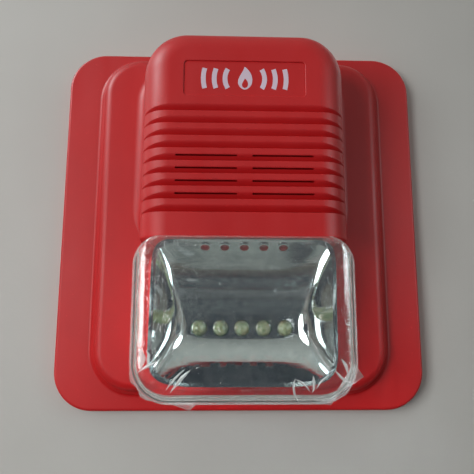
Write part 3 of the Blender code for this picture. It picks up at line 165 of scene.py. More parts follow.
# Base
BASE_WIDTH, BASE_HEIGHT = BASE_HIGH.x - BASE_LOW.x, BASE_HIGH.y - BASE_LOW.y
BASE_CORNER, BASE_TOP_CORNER, BASE_FLOOR, BASE_EDGE = 12.4 * MM, 16 * MM, 2 * MM, 0.4 * MM
BASE_RIB, BASE_RIB_WIDTH, STIFFENER_X = BASE_HIGH.z, 1.4 * MM, 52 * MM
CABLE_WAY_WIDTH, CABLE_WAY_HEIGHT, CABLE_WAY_CORNER, CABLE_WAY_Y = 46 * MM, 34 * MM, 6 * MM, 22 * MM
COLLAR_WALL = 1.5 * MM
WALL_SLOT_LENGTH, WALL_SLOT_WIDTH = 9 * MM, 4.4 * MM
LEVEL_SLOTS = [(-30.2 * MM, -20 * MM), (30.2 * MM, -20 * MM)]
UPRIGHT_SLOTS = [(0, 52 * MM), (0, -32 * MM)]


# ---- solids

def finish_solid(bm):
    """The mesh of a closed skin or a sheet, with its seams joined and its faces turned outwards."""
    bmesh.ops.remove_doubles(bm, verts=bm.verts, dist=1e-6)
    bmesh.ops.recalc_face_normals(bm, faces=bm.faces)
    mesh = bpy.data.meshes.new("solid")
    bm.to_mesh(mesh)
    bm.free()
    return mesh


def stitch(bm, rows, closed=False):
    """Faces between each row of vertices and the next one, all the way round if the rows are closed."""
    for lower, upper in zip(rows, rows[1:]):
        for index in range(len(lower) if closed else len(lower) - 1):
            after = (index + 1) % len(lower)
            bm.faces.new((lower[index], lower[after], upper[after], upper[index]))


def outline(width, height, top_radius, bottom_radius=None, centre_y=0.0, steps=14):
    """Rounded rectangle about (0, centre_y), anticlockwise from its bottom right corner."""
    bottom_radius = top_radius if bottom_radius is None else bottom_radius
    corners = ((1, -1, bottom_radius, -90), (1, 1, top_radius, 0),
               (-1, 1, top_radius, 90), (-1, -1, bottom_radius, 180))
    points = []
    for side, end, radius, start in corners:
        middle_x = side * (width / 2 - radius)
        middle_y = centre_y + end * (height / 2 - radius)
        for step in range(steps + 1):
            angle = radians(start + 90 * step / steps)
            points.append((middle_x + radius * cos(angle), middle_y + radius * sin(angle)))
    return points


def skin(loops):
    """Closed skin through loops of points, with end caps."""
    bm = bmesh.new()
    loops = [[bm.verts.new(point) for point in loop] for loop in loops]
    stitch(bm, loops, closed=True)
    bm.faces.new(reversed(loops[0]))
    bm.faces.new(loops[-1])
    return finish_solid(bm)


def loft(rings):
    """Closed skin through level rings, each a list of (x, y) points with its height z."""
    return skin([[(x, y, z) for x, y in points] for points, z in rings])


def extruded(points, low, high):
    return loft([(points, low), (points, high)])


def rounded_edge(outline_at, inset, top, radius, steps=10):
    """Rings that turn a wall over into a face at height top."""
    return [(outline_at(inset + across), top - below) for across, below in rolled(radius, steps, 1)]


def box(low, high, edge=0.0):
    """Box between two corners, with its edges rounded where a width is given."""
    low, high = Vector(low), Vector(high)
    bm = bmesh.new()
    bmesh.ops.create_cube(bm, size=1)
    bmesh.ops.scale(bm, verts=bm.verts, vec=high - low)
    bmesh.ops.translate(bm, verts=bm.verts, vec=(high + low) / 2)
    if edge:
        bmesh.ops.bevel(bm, geom=bm.edges, offset=edge, segments=2, affect="EDGES", profile=0.5)
    return finish_solid(bm)


def rod(radius, start, end, sides=32):
    start, end = Vector(start), Vector(end)
    bm = bmesh.new()
    bmesh.ops.create_cone(bm, cap_ends=True, segments=sides, radius1=radius, radius2=radius,
                          depth=(end - start).length)
    turn = (end - start).to_track_quat("Z", "Y").to_matrix().to_4x4()
    bmesh.ops.transform(bm, matrix=Matrix.Translation((start + end) / 2) @ turn, verts=bm.verts)
    return finish_solid(bm)


def turned(profile, at, sides):
    """Solid of revolution about the upright axis through a point, from (radius, z) points that start and end
    on that axis."""
    bm = bmesh.new()
    loops = []
    for radius, z in profile:
        turns = [2 * pi * i / sides for i in range(sides if radius > 0 else 1)]
        loops.append([bm.verts.new((at[0] + radius * cos(turn), at[1] + radius * sin(turn), at[2] + z))
                      for turn in turns])
    for first, second in zip(loops, loops[1:]):
        for i in range(sides):
            corners = [first[i % len(first)], first[(i + 1) % len(first)],
                       second[(i + 1) % len(second)], second[i % len(second)]]
            bm.faces.new(list(dict.fromkeys(corners)))
    return finish_solid(bm)


def merged(meshes):
    """One mesh that holds several solids."""
    bm = bmesh.new()
    for mesh in meshes:
        bm.from_mesh(mesh)
    return finish_solid(bm)


def placed(name, data):
    """A new object of the scene, with its mesh, lamp or camera."""
    obj = bpy.data.objects.new(name, data)
    SCENE.collection.objects.link(obj)
    return obj


def combined(mesh, *steps):
    """The mesh after each (operation, tool mesh) in turn: UNION joins the tool, DIFFERENCE cuts it out."""
    helpers = []

    def helper(data):
        helpers.append(placed("helper", data))
        return helpers[-1]

    target = helper(mesh)
    for operation, tool in steps:
        modifier = target.modifiers.new(operation, "BOOLEAN")
        modifier.operation = operation
        modifier.object = helper(tool)
        modifier.solver = "EXACT"
    bpy.context.view_layer.update()
    result = bpy.data.meshes.new_from_object(target.evaluated_get(bpy.context.evaluated_depsgraph_get()))
    for obj in helpers:
        bpy.data.objects.remove(obj)
    return result


def piece(name, mesh, body, material, slot, *nodes, smooth=38, weighted=True):
    """Stands the mesh upright as a named piece that rides on a body and stands for the CAD nodes."""
    mesh.transform(STAND)
    mesh.materials.clear()
    mesh.materials.append(material)
    mesh.shade_smooth()
    mesh.set_sharp_from_angle(angle=radians(smooth))
    obj = placed(name, mesh)
    if weighted:
        modifier = obj.modifiers.new("normals", "WEIGHTED_NORMAL")
        modifier.keep_sharp = True
        modifier.mode = "FACE_AREA"
    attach(obj, body)
    if nodes:
        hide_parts(*nodes)
    return obj


# ---- materials

class Nodes:
    """The node tree of a material or a world, with one call for each node."""

    def __init__(self, owner):
        owner.use_nodes = True
        self.tree = owner.node_tree

    def feed(self, socket, value):
        """Links another socket to this one, or sets a value on it."""
        if isinstance(value, bpy.types.NodeSocket):
            self.tree.links.new(value, socket)
        else:
            socket.default_value = value

    def add(self, kind, inputs=None, **settings):
        node = self.tree.nodes.new(kind)
        for key, value in settings.items():
            setattr(node, key, value)
        for key, value in (inputs or {}).items():
            self.feed(node.inputs[key], value)
        return node

    def span(self, value, low, high, to_low=0.0, to_high=1.0):
        """The value mapped from one span to another, held at both ends."""
        inputs = {"Value": value, "From Min": low, "From Max": high, "To Min": to_low, "To Max": to_high}
        return self.add("ShaderNodeMapRange", inputs).outputs["Result"]

    def maths(self, operation, first, second=0.0):
        return self.add("ShaderNodeMath", {0: first, 1: second}, operation=operation).outputs["Value"]

    def mix(self, share, first, second):
        """Colour between the first and the second."""
        node = self.add("ShaderNodeMix", data_type="RGBA")
        for socket, value in ((node.inputs[0], share), (node.inputs[6], first), (node.inputs[7], second)):
            self.feed(socket, (*value, 1) if isinstance(value, tuple) else value)
        return node.outputs[2]


class Surface(Nodes):
    """A material whose looks are set on a Principled shader."""

    def __init__(self, name):
        self.material = bpy.data.materials.new(name)
        super().__init__(self.material)
        self.shader = self.tree.nodes["Principled BSDF"]
        self.place = self.add("ShaderNodeTexCoord").outputs["Object"]

    def set(self, **values):
        """Values or sockets for the Principled shader, by input name with _ for spaces."""
        for key, value in values.items():
            self.feed(self.shader.inputs[key.replace("_", " ")], value)

    def blended(self, share, first, second):
        """Makes the surface a mixture of two shader sockets."""
        mixture = self.add("ShaderNodeMixShader", {"Fac": share, 1: first, 2: second}).outputs["Shader"]
        self.feed(self.tree.nodes["Material Output"].inputs["Surface"], mixture)
        return mixture

    def mapping(self, scale):
        return self.add("ShaderNodeMapping", {"Vector": self.place, "Scale": scale}).outputs["Vector"]

    def noise(self, scale, detail=3.0, roughness=0.5, vector=None, distortion=0.0):
        inputs = {"Vector": vector or self.place, "Scale": scale, "Detail": detail, "Roughness": roughness,
                  "Distortion": distortion}
        return self.add("ShaderNodeTexNoise", inputs).outputs["Fac"]

    def bump(self, height, distance, strength=1.0, normal=None):
        inputs = {"Height": height, "Distance": distance, "Strength": strength}
        if normal:
            inputs["Normal"] = normal
        return self.add("ShaderNodeBump", inputs).outputs["Normal"]


def moulded(name, light, dark, roughness, grain=0.00002):
    """Moulded plastic: slow colour drift, flow marks in the gloss, and a fine spark-eroded grain."""
    n = Surface(name)
    drift = n.span(n.noise(26, 4, 0.55), 0.32, 0.68)
    specks = n.span(n.noise(950, 2, 0.6), 0.66, 0.78)
    speck_colour = tuple(min(1, channel * 1.5 + 0.02) for channel in light)
    n.set(Base_Color=n.mix(n.maths("MULTIPLY", specks, 0.25), n.mix(drift, dark, light), speck_colour))
    marks = n.noise(120, 5, 0.6, n.mapping((1, 1, 0.25)))
    n.set(Roughness=n.span(marks, 0.3, 0.7, roughness - 0.06, roughness + 0.07))
    fine = n.bump(n.noise(2600, 2, 0.65), grain)
    n.set(Normal=n.bump(n.noise(60, 3, 0.5), 0.0002, 0.25, fine), IOR=1.5, Specular_IOR_Level=0.3)
    return n.material


def clear_plastic():
    """Polished polycarbonate with faint moulding ripples and hairline scratches."""
    n = Surface("clear_polycarbonate")
    n.set(Base_Color=(0.955, 0.975, 0.965, 1), Transmission_Weight=1.0, IOR=1.5)
    n.set(Roughness=n.span(n.noise(300, 4, 0.6), 0.45, 0.75, 0.0, 0.05))
    n.set(Normal=n.bump(n.noise(70, 2, 0.4), 0.0002, 0.3))
    return n.material


def clear_film(name, cloudiness_and_painted_glint):
    """Thin clear film: almost all of the light passes, with a mirror-like glint on its creases. Its whitish
    haze is faint on the flat film; on creased film it is strong and is a painted glint.
    """
    n = Surface(name)
    crinkle = n.bump(n.noise(420, 4, 0.6, distortion=1.2), 0.0006, 0.35)
    n.set(Base_Color=(0.8, 0.82, 0.82, 1), Roughness=0.35, Normal=crinkle)
    turned_away = n.add("ShaderNodeLayerWeight", {"Blend": 0.5, "Normal": crinkle}).outputs["Facing"]
    mirrored = n.maths("ADD", n.maths("MULTIPLY", n.maths("POWER", turned_away, 5), 0.9), 0.04)
    glossy = {"Color": (0.95, 0.97, 0.97, 1), "Roughness": 0.06, "Normal": crinkle}
    glint = n.add("ShaderNodeBsdfGlossy", glossy).outputs["BSDF"]
    see = n.add("ShaderNodeBsdfTransparent", {"Color": (0.985, 0.99, 0.99, 1)}).outputs["BSDF"]
    edge_on = n.span(turned_away, 0.3, 0.9, 0.0, 0.16)
    # Whitish haze share: a faint real haze on the flat film; the creased film's large share is a painted
    # glint.
    milky_share_with_painted_glint = n.maths("ADD", n.span(n.noise(500, 4, 0.7), 0.45, 0.8, cloudiness_and_painted_glint, cloudiness_and_painted_glint + 0.04), edge_on)
    n.blended(milky_share_with_painted_glint, n.blended(mirrored, see, glint), n.shader.outputs["BSDF"])
    return n.material


def chrome():
    """Vacuum-metallised plastic: a mirror with faint flow lines across it."""
    n = Surface("metallised_plastic")
    clouds = n.span(n.noise(200, 3), 0.4, 0.7)
    n.set(Base_Color=n.mix(clouds, (0.80, 0.83, 0.84), (0.90, 0.92, 0.92)), Metallic=1.0)
    n.set(Roughness=n.span(n.noise(500, 4, 0.6), 0.35, 0.7, 0.02, 0.09))
    n.set(Normal=n.bump(n.noise(90, 4, 0.6, n.mapping((0.5, 1, 9))), 0.0001, 0.25))
    return n.material


def epoxy():
    """Clear epoxy dome over yellow-green phosphor."""
    n = Surface("led_epoxy_dome")
    cloud = n.span(n.noise(700, 3), 0.35, 0.7)
    n.set(Base_Color=n.mix(cloud, (0.10, 0.125, 0.06), (0.21, 0.235, 0.13)), Roughness=0.22, IOR=1.55)
    n.set(Coat_Weight=1.0, Coat_Roughness=0.03, Subsurface_Weight=0.3, Subsurface_Scale=0.002)
    n.set(Normal=n.bump(n.noise(900, 2), 0.0001, 0.3))
    return n.material


def circuit_board_finish():
    """Green solder mask with copper tracks and pads under it."""
    n = Surface("solder_mask")
    black, white = (0, 0, 0, 1), (1, 1, 1, 1)
    tracks = n.add("ShaderNodeTexBrick", {"Vector": n.place, "Scale": 240, "Mortar Size": 0.06,
                                          "Color1": black, "Color2": black, "Mortar": white})
    copper = n.maths("MULTIPLY", tracks.outputs["Color"], n.span(n.noise(160, 2), 0.48, 0.55))
    mask = n.mix(n.span(n.noise(45, 3), 0.3, 0.7), (0.008, 0.09, 0.032), (0.014, 0.13, 0.045))
    n.set(Base_Color=n.mix(copper, mask, (0.05, 0.24, 0.07)))
    n.set(Roughness=n.span(n.noise(300), 0.3, 0.7, 0.28, 0.42))
    n.set(Normal=n.bump(copper, 0.00005, 0.8), Coat_Weight=0.4, Coat_Roughness=0.15)
    return n.material


def metal(name, light, dark, roughness, stretch=(1, 1, 1)):
    """Metal with fine drawn lines and patches of dull plating."""
    n = Surface(name)
    patches = n.span(n.noise(260, 4, 0.6), 0.35, 0.7)
    n.set(Base_Color=n.mix(patches, dark, light), Metallic=1.0)
    drawn = n.mapping(stretch)
    n.set(Roughness=n.span(n.noise(800, 3, 0.6, drawn), 0.3, 0.7, roughness - 0.08, roughness + 0.12))
    n.set(Normal=n.bump(n.noise(1500, 3, 0.6, drawn), 0.00003, 0.6))
    return n.material


def winding():
    """Enamelled copper wire wound in close turns round a drum."""
    n = Surface("enamelled_winding")
    turns = n.add("ShaderNodeTexWave", {"Vector": n.place, "Scale": 620, "Distortion": 0.6, "Detail": 1.0},
                  bands_direction="Y").outputs["Fac"]
    n.set(Base_Color=n.mix(turns, (0.18, 0.05, 0.02), (0.72, 0.28, 0.12)), Metallic=0.85, Roughness=0.35)
    n.set(Normal=n.bump(turns, 0.0002, 0.9))
    return n.material


def foam():
    """Black closed-cell foam."""
    n = Surface("closed_cell_foam")
    cells = n.add("ShaderNodeTexVoronoi", {"Vector": n.place, "Scale": 2200}).outputs["Distance"]
    rubber = n.mix(n.span(cells, 0.1, 0.7), (0.012, 0.012, 0.013), (0.06, 0.06, 0.065))
    n.set(Base_Color=rubber, Roughness=0.9)
    n.set(Normal=n.bump(cells, 0.0002, 0.8))
    return n.material


RED = moulded("red_abs_satin", (0.560, 0.012, 0.014), (0.500, 0.009, 0.011), 0.46)
BASE_RED = moulded("red_abs_matt", (0.47, 0.022, 0.02), (0.40, 0.017, 0.017), 0.52, grain=0.00004)
PRINT = moulded("white_print_ink", (0.74, 0.60, 0.72), (0.66, 0.53, 0.64), 0.45, grain=0.00001)
BLACK = moulded("black_moulded", (0.028, 0.028, 0.030), (0.018, 0.018, 0.020), 0.5)
GREEN = moulded("green_polyamide", (0.04, 0.30, 0.12), (0.025, 0.22, 0.09), 0.45)
BLUE = moulded("blue_switch_body", (0.03, 0.11, 0.45), (0.02, 0.08, 0.34), 0.4)
WHITE = moulded("white_nylon", (0.80, 0.79, 0.74), (0.70, 0.69, 0.64), 0.45)
CERAMIC = moulded("fired_ceramic", (0.80, 0.79, 0.74), (0.66, 0.65, 0.60), 0.5)
SLEEVE = moulded("shrink_sleeve", (0.04, 0.06, 0.15), (0.025, 0.035, 0.09), 0.3)
RED_PVC = moulded("red_pvc", (0.55, 0.03, 0.03), (0.42, 0.02, 0.02), 0.45)
BLACK_PVC = moulded("black_pvc", (0.03, 0.03, 0.03), (0.018, 0.018, 0.018), 0.45)
STEEL = metal("zinc_plated_steel", (0.70, 0.70, 0.68), (0.52, 0.53, 0.52), 0.3)
BRASS = metal("rolled_brass", (0.80, 0.62, 0.30), (0.66, 0.48, 0.20), 0.3, (1, 1, 14))
LENS_CLEAR, CHROME, EPOXY = clear_plastic(), chrome(), epoxy()
# The creased film's strong whitish haze is a painted glint on the creases and ears.
FILM, GLINT_PAINTED_FILM = clear_film("peel_film", 0.01), clear_film("film_with_painted_glint", 0.34)
BOARD, WINDING, FOAM = circuit_board_finish(), winding(), foam()


# ---- front housing

def flange_outline(inset):
    return outline(PLATE_WIDTH - 2 * inset, PLATE_HEIGHT - 2 * inset, PLATE_CORNER - inset)


def plinth_outline(inset):
    return outline(PLINTH_WIDTH - 2 * inset, PLINTH_HEIGHT - 2 * inset, PLINTH_CORNER - inset,
                   centre_y=PLINTH_CENTRE_Y)


def flange_and_plinth():
    """Flange and plinth as one skin, with a soft root where the plinth leaves the flange."""
    rings = [(flange_outline(0), SKIRT_BACK), (flange_outline(PLATE_DRAFT), PLATE_FACE - PLATE_EDGE)]
    rings += rounded_edge(flange_outline, PLATE_DRAFT, PLATE_FACE, PLATE_EDGE, 6)
    rings += [(plinth_outline(-reach), PLATE_FACE + rise) for rise, reach in rolled(PLINTH_FILLET, 6)]
    rings.append((plinth_outline(PLINTH_DRAFT), PLINTH_TOP - PLINTH_EDGE))
    return loft(rings + rounded_edge(plinth_outline, PLINTH_DRAFT, PLINTH_TOP, PLINTH_EDGE, 10))


def groove_tool(bottom):
    """Cutter for one groove: level across the tower, with a curved slope above and a sharp step below. It
    follows part of the side fillet's fall, so it grows shallow and runs out at the tower's side."""
    outside, slope_steps = TOWER_FRONT + 3 * MM, 14
    section = [(-out, down) for down, out in rolled(GROOVE_LIP, 4)]
    for share in (step / slope_steps for step in range(slope_steps + 1)):
        section.append((GROOVE_HEIGHT * share, GROOVE_DEPTH * (1 - share) ** GROOVE_CURVE))
    stations = [(TOWER_HALF_AT_EDGE - across, TOWER_FRONT - GROOVE_FOLLOW * below)
                for across, below in rolled(TOWER_SIDE_FILLET, 14)]
    stations = [(-x, top) for x, top in stations] + stations[::-1]
    return skin([[(x, bottom - GROOVE_LIP, outside),
                  *[(x, bottom + across, top - depth) for across, depth in section],
                  (x, bottom + GROOVE_HEIGHT, outside)] for x, top in stations])


def tower_levels(wall_steps=3):
    """(z, half width, top, corner radius, flare, angle) of each ring of the tower, from inside the plinth to
    the face. The angle runs round the side fillet, from the side at 0 to the face at 90 degrees."""
    side_foot = PLINTH_TOP + TOWER_FOOT_FILLET
    side_head = TOWER_FRONT - TOWER_SIDE_FILLET

    def wall(z, flare=0.0):
        rise = (z - PLINTH_TOP) / (side_head - PLINTH_TOP)
        half = between(TOWER_HALF_AT_FOOT, TOWER_HALF_AT_EDGE, rise)
        return z, half, between(TOWER_TOP_AT_FOOT, TOWER_TOP_AT_EDGE, rise), TOWER_CORNER, flare, 0.0

    def fillet(angle):
        z = TOWER_FRONT - TOWER_SIDE_FILLET * (1 - sin(angle))
        top_up = max(0.0, z - (TOWER_FRONT - TOWER_TOP_FILLET))
        top = TOWER_TOP_AT_EDGE - TOWER_TOP_FILLET + sqrt(max(TOWER_TOP_FILLET ** 2 - top_up ** 2, 0))
        half = TOWER_HALF_AT_EDGE - TOWER_SIDE_FILLET * (1 - cos(angle))
        return z, half, top, between(TOWER_CORNER, TOWER_FACE_CORNER, 1 - cos(angle)), 0.0, angle

    levels = [wall(PLINTH_TOP - 4 * MM, TOWER_FOOT_FILLET)]
    levels += [wall(PLINTH_TOP + rise, reach) for rise, reach in rolled(TOWER_FOOT_FILLET, 8)]
    levels += [wall(between(side_foot, side_head, step / wall_steps)) for step in range(1, wall_steps)]
    return levels + [fillet(angle) for angle in quarter(14)]


def tower():
    """The tower as a grid of rings on each half, with rows across its face, and its grooves cut in."""
    side_steps = 12
    bm = bmesh.new()
    sides = []
    for z, half, top, corner, flare, angle in tower_levels():
        side_top = top - corner
        rows = [(TOWER_BOTTOM + up, inward) for up, inward in rolled(BOTTOM_EDGE, 4)]
        rows += [(between(rows[-1][0], side_top, step / side_steps), 0) for step in range(1, side_steps + 1)]
        points = []
        for y, inward in rows:
            share = min(1.0, (y - TOWER_BOTTOM) / (FLARE_FADE * (side_top - TOWER_BOTTOM)))
            x = half + flare * share ** 2 * (3 - 2 * share) - cos(angle) * inward
            points.append((x, y, z - sin(angle) * inward))
        points += [(half + flare - across, top - below, z) for across, below in rolled(corner, 14, 1)]
        sides.append([[bm.verts.new((side * x, y, z)) for x, y, z in points] for side in (1, -1)])
    for (right, left), (right_up, left_up) in zip(sides, sides[1:]):
        for index in range(len(right) - 1):
            bm.faces.new((right[index], right[index + 1], right_up[index + 1], right_up[index]))
            bm.faces.new((left[index + 1], left[index], left_up[index], left_up[index + 1]))
        bm.faces.new((right[-1], left[-1], left_up[-1], right_up[-1]))
        bm.faces.new((left[0], right[0], right_up[0], left_up[0]))
    right, left = sides[-1]
    for index in range(len(right) - 1):
        bm.faces.new((left[index], right[index], right[index + 1], left[index + 1]))
    right, left = sides[0]
    bm.faces.new(right + left[::-1])
    grooves = [groove_tool(GROOVE_TOP_Y - index * GROOVE_PITCH) for index in range(GROOVE_COUNT)]
    return combined(finish_solid(bm), ("DIFFERENCE", merged(grooves)))


def cavity():
    """Cutter for the room inside the tower."""
    def level(inset, z):
        half, top, corner = CAVITY_HALF - inset, CAVITY_TOP - inset, CAVITY_CORNER - inset
        right = [(half, CAVITY_BOTTOM)]
        right += [(half - across, top - below) for across, below in rolled(corner, 12)]
        return right + [(-x, y) for x, y in reversed(right)], z

    return loft([level(0, PLINTH_TOP - 6 * MM)]
                + [level(across, CAVITY_FRONT - below) for across, below in rolled(CAVITY_FILLET, 8)])


def tilt_relief():
    """Cutter that slopes the skirt's upper edge, so that it stays off the wall when the unit swings open."""
    wedge = box((-PLATE_WIDTH, 0, -10 * MM), (PLATE_WIDTH, 20 * MM, 0))
    turn = Matrix.Rotation(radians(OPENING_DEG + 1), 4, "X")
    wedge.transform(Matrix.Translation((0, PLATE_HEIGHT / 2 - RELIEF_HEIGHT, 0)) @ turn)
    return wedge


def recess_tool():
    """Cutter for the mark's recess, with a rounded rim."""
    def at(grow):
        return outline(RECESS_WIDTH + 2 * grow, RECESS_HEIGHT + 2 * grow, 1.2 * MM + grow, centre_y=RECESS_Y,
                       steps=6)

    rim = 0.3 * MM
    rings = [(at(0), TOWER_FRONT - RECESS_DEPTH), (at(0), TOWER_FRONT - rim)]
    rings += [(at(across), TOWER_FRONT - below) for across, below in rolled(rim, 4, 1)]
    return loft(rings + [(at(rim), TOWER_FRONT + 3 * MM)])


def screw_bosses():
    """(bosses, pilot holes) for the screws of the board, the sounder and the reflector."""
    front = CAVITY_FRONT + 1 * MM
    bosses, pilots = [], []
    for x, y in BOARD_SCREWS:
        bosses.append(rod(BOSS_RADIUS, (x, y, BOARD_HIGH.z + GAP), (x, y, front)))
        pilots.append(rod(PILOT_RADIUS, (x, y, 10 * MM), (x, y, 26 * MM), 20))
    for x in (-SOUNDER_SCREW_X, SOUNDER_SCREW_X):
        y, foot = SOUNDER_SCREW_Y, SOUNDER_BOSS_FOOT
        bosses.append(rod(SOUNDER_BOSS_RADIUS, (x, y, foot), (x, y, front)))
        pilots.append(rod(PILOT_RADIUS, (x, y, 30 * MM), (x, y, 37.6 * MM), 20))
    for x in (-LED_SCREW_X, LED_SCREW_X):
        y = LED_LINE_Y
        bosses.append(rod(BOSS_RADIUS, (x, y, PLINTH_TOP - 1 * MM), (x, y, PLINTH_TOP + 1.5 * MM)))
        pilots.append(rod(1.6 * MM, (x, y, 5 * MM), (x, y, 16 * MM), 20))
    return merged(bosses), merged(pilots)


def sound_slots():
    """Cutters for the slots through the tower's face, two in each slotted groove."""
    slots = []
    for index in SLOTTED_GROOVES:
        top = GROOVE_TOP_Y - index * GROOVE_PITCH + GROOVE_HEIGHT - SLOT_DROP
        for left, right in ((-SLOT_OUTER_X, -SLOT_INNER_X), (SLOT_INNER_X, SLOT_OUTER_X)):
            slots.append(box((left, top - SLOT_HEIGHT, CAVITY_FRONT - 2 * MM), (right, top, TOWER_FRONT)))
    return merged(slots)


def hooks():
    """(eyes, roots, bores, mouths) of the two hooks that hang the front unit on the base's pins."""
    eyes, roots, bores, mouths = [], [], [], []
    for x in (-HINGE_X, HINGE_X):
        left, right = x - EYE_WIDTH / 2, x + EYE_WIDTH / 2
        past_left, past_right = left - 1 * MM, right + 1 * MM
        eyes.append(rod(EYE_RADIUS, (left, HINGE_Y, HINGE_Z), (right, HINGE_Y, HINGE_Z), 48))
        low = (left, HINGE_Y - HOOK_ROOT_BELOW, HINGE_Z + HOOK_ROOT_BACK)
        roots.append(box(low, (right, HINGE_Y + HOOK_ROOT_ABOVE, PLATE_FACE - 1 * MM)))
        bores.append(rod(EYE_BORE, (past_left, HINGE_Y, HINGE_Z), (past_right, HINGE_Y, HINGE_Z), 36))
        low = (past_left, HINGE_Y - HOOK_MOUTH / 2, -1 * MM)
        mouths.append(box(low, (past_right, HINGE_Y + HOOK_MOUTH / 2, HINGE_Z)))
    return merged(eyes), merged(roots), merged(bores), merged(mouths)


def housing():
    """The red moulding: flange, plinth, grooved tower, the lens's seat, and the bosses and hooks inside."""
    seat_height = LENS_TOP - LENS_BOTTOM + 2 * SEAT_MARGIN

    def seat_outline(inset):
        return outline(LENS_WIDTH + 2 * (LENS_FLARE + SEAT_MARGIN - inset), seat_height - 2 * inset,
                       LENS_TOP_CORNER - inset, LENS_BOTTOM_CORNER + SEAT_MARGIN - inset,
                       centre_y=(LENS_TOP + LENS_BOTTOM) / 2)

    seat = loft([(seat_outline(0), PLATE_FACE - 1 * MM), (seat_outline(0), PLINTH_TOP - 0.5 * MM)]
                + rounded_edge(seat_outline, 0, PLINTH_TOP, 0.5 * MM, 4))
    skirt_hollow = extruded(flange_outline(SHELL_WALL + 0.2 * MM), -1 * MM, PLATE_FACE - SHELL_WALL)
    wide, narrow = plinth_outline(3 * MM), plinth_outline(6 * MM)
    plinth_hollow = loft([(wide, 2 * MM), (wide, 7.5 * MM), (narrow, PLINTH_TOP - PLINTH_WALL)])
    half, thick, floor = PEG_LENGTH / 2 + GAP, PEG_THICK / 2 + GAP, PLINTH_TOP - PEG_DEPTH
    pockets = [box((x - half, y - thick, floor), (x + half, y + thick, 14 * MM))
               for y in (PEG_BOTTOM_Y, PEG_TOP_Y) for x in (-PEG_X, PEG_X)]
    window = box((-LED_WINDOW_HALF, LED_LINE_Y - LED_WINDOW_UP, PLATE_FACE),
                 (LED_WINDOW_HALF, LED_LINE_Y + LED_WINDOW_UP, PLINTH_TOP + 2.5 * MM))
    bosses, pilots = screw_bosses()
    eyes, roots, bores, mouths = hooks()
    mesh = combined(flange_and_plinth(), ("UNION", tower()), ("UNION", seat),
                    ("DIFFERENCE", skirt_hollow), ("DIFFERENCE", plinth_hollow), ("DIFFERENCE", cavity()),
                    ("DIFFERENCE", tilt_relief()), ("UNION", bosses), ("DIFFERENCE", pilots),
                    ("DIFFERENCE", sound_slots()), ("DIFFERENCE", recess_tool()),
                    ("DIFFERENCE", merged(pockets)), ("DIFFERENCE", window), ("UNION", eyes),
                    ("UNION", roots), ("DIFFERENCE", bores), ("DIFFERENCE", mouths))
    piece("housing_moulding", mesh, "front_unit", RED, "red_abs", "front_housing")


# ---- mark

def flame_outline(scale):
    """A plain flame, 8 units high: a round belly that leans up to one tip."""
    points = []
    for step in range(48):
        t = 2 * pi * step / 48
        lift = (1 - cos(t)) / 2
        x = 3.0 * sin(t) * (1 - 0.75 * lift ** 1.4) + 1.1 * lift ** 2 * sin(pi * lift)
        points.append((x * scale, (-3.8 + 8.0 * lift ** 0.9) * scale))
    return points


def arc_band(radius, width, side, spread):
    """One sound-wave arc, as a band of constant width that spans the spread, in degrees, up and down."""
    angles = [radians(between(-spread, spread, step / 16)) for step in range(17)]
    band = [(side * radius * cos(angle), radius * sin(angle)) for angle in angles]
    band += [(side * (radius - width) * cos(angle), (radius - width) * sin(angle)) for angle in angles[::-1]]
    return band if side > 0 else band[::-1]


def mark():
    """White printed sign in the recess: a flame between two sets of sound waves."""
    z = TOWER_FRONT - RECESS_DEPTH
    shapes = [flame_outline(MM)]
    for side in (-1, 1):
        shapes += [arc_band(radius, WAVE_WIDTH, side, spread) for radius, spread in WAVES]
    meshes = [extruded([(x, y + RECESS_Y) for x, y in points], z - 0.02 * MM, z + 0.06 * MM)
              for points in shapes]
    core_outline = [(x, y + RECESS_Y - FLAME_CORE_DROP) for x, y in flame_outline(FLAME_CORE_SHARE * MM)]
    core = extruded(core_outline, z + 0.05 * MM, z + 0.09 * MM)
    piece("printed_mark", merged(meshes), "front_unit", PRINT, "white_plastic")
    piece("printed_mark_core", core, "front_unit", RED, "red_abs")


# ---- strobe

def lens_outline(inset, flare=0.0, top=LENS_TOP):
    bottom = LENS_BOTTOM + inset
    return outline(LENS_WIDTH + 2 * flare - 2 * inset, top - bottom, LENS_TOP_CORNER - inset,
                   LENS_BOTTOM_CORNER - inset, centre_y=(top + bottom) / 2, steps=16)


def lens_skin(foot, inset, front, edge, top=LENS_TOP):
    def outline_at(drawn_in):
        return lens_outline(drawn_in, top=top)

    rings = [(lens_outline(inset, LENS_FLARE, top), foot), (outline_at(inset), front - edge)]
    return loft(rings + rounded_edge(outline_at, inset, front, edge, 12))


def lens():
    """Clear cap with a rolled edge, open behind and along its top, where the tower's underside closes it. It
    has pegs along its lower side only."""
    foot, low, high = LENS_LOW.z + PEG_DEPTH, PEG_BOTTOM_Y - PEG_THICK / 2, PEG_BOTTOM_Y + PEG_THICK / 2
    pegs = [box((x - PEG_LENGTH / 2, low, LENS_LOW.z), (x + PEG_LENGTH / 2, high, foot + 1 * MM))
            for x in (-PEG_X, PEG_X)]
    hollow = lens_skin(foot - 2 * MM, LENS_WALL, LENS_FRONT - LENS_WALL, LENS_EDGE - LENS_WALL,
                       LENS_TOP + 0.2 * MM)
    cap = lens_skin(foot, 0.0, LENS_FRONT, LENS_EDGE)
    mesh = combined(cap, ("UNION", merged(pegs)), ("DIFFERENCE", hollow))
    obj = piece("lens_moulding", mesh, "front_unit", LENS_CLEAR, "clear_lens", "strobe_lens")
    obj.visible_shadow = False


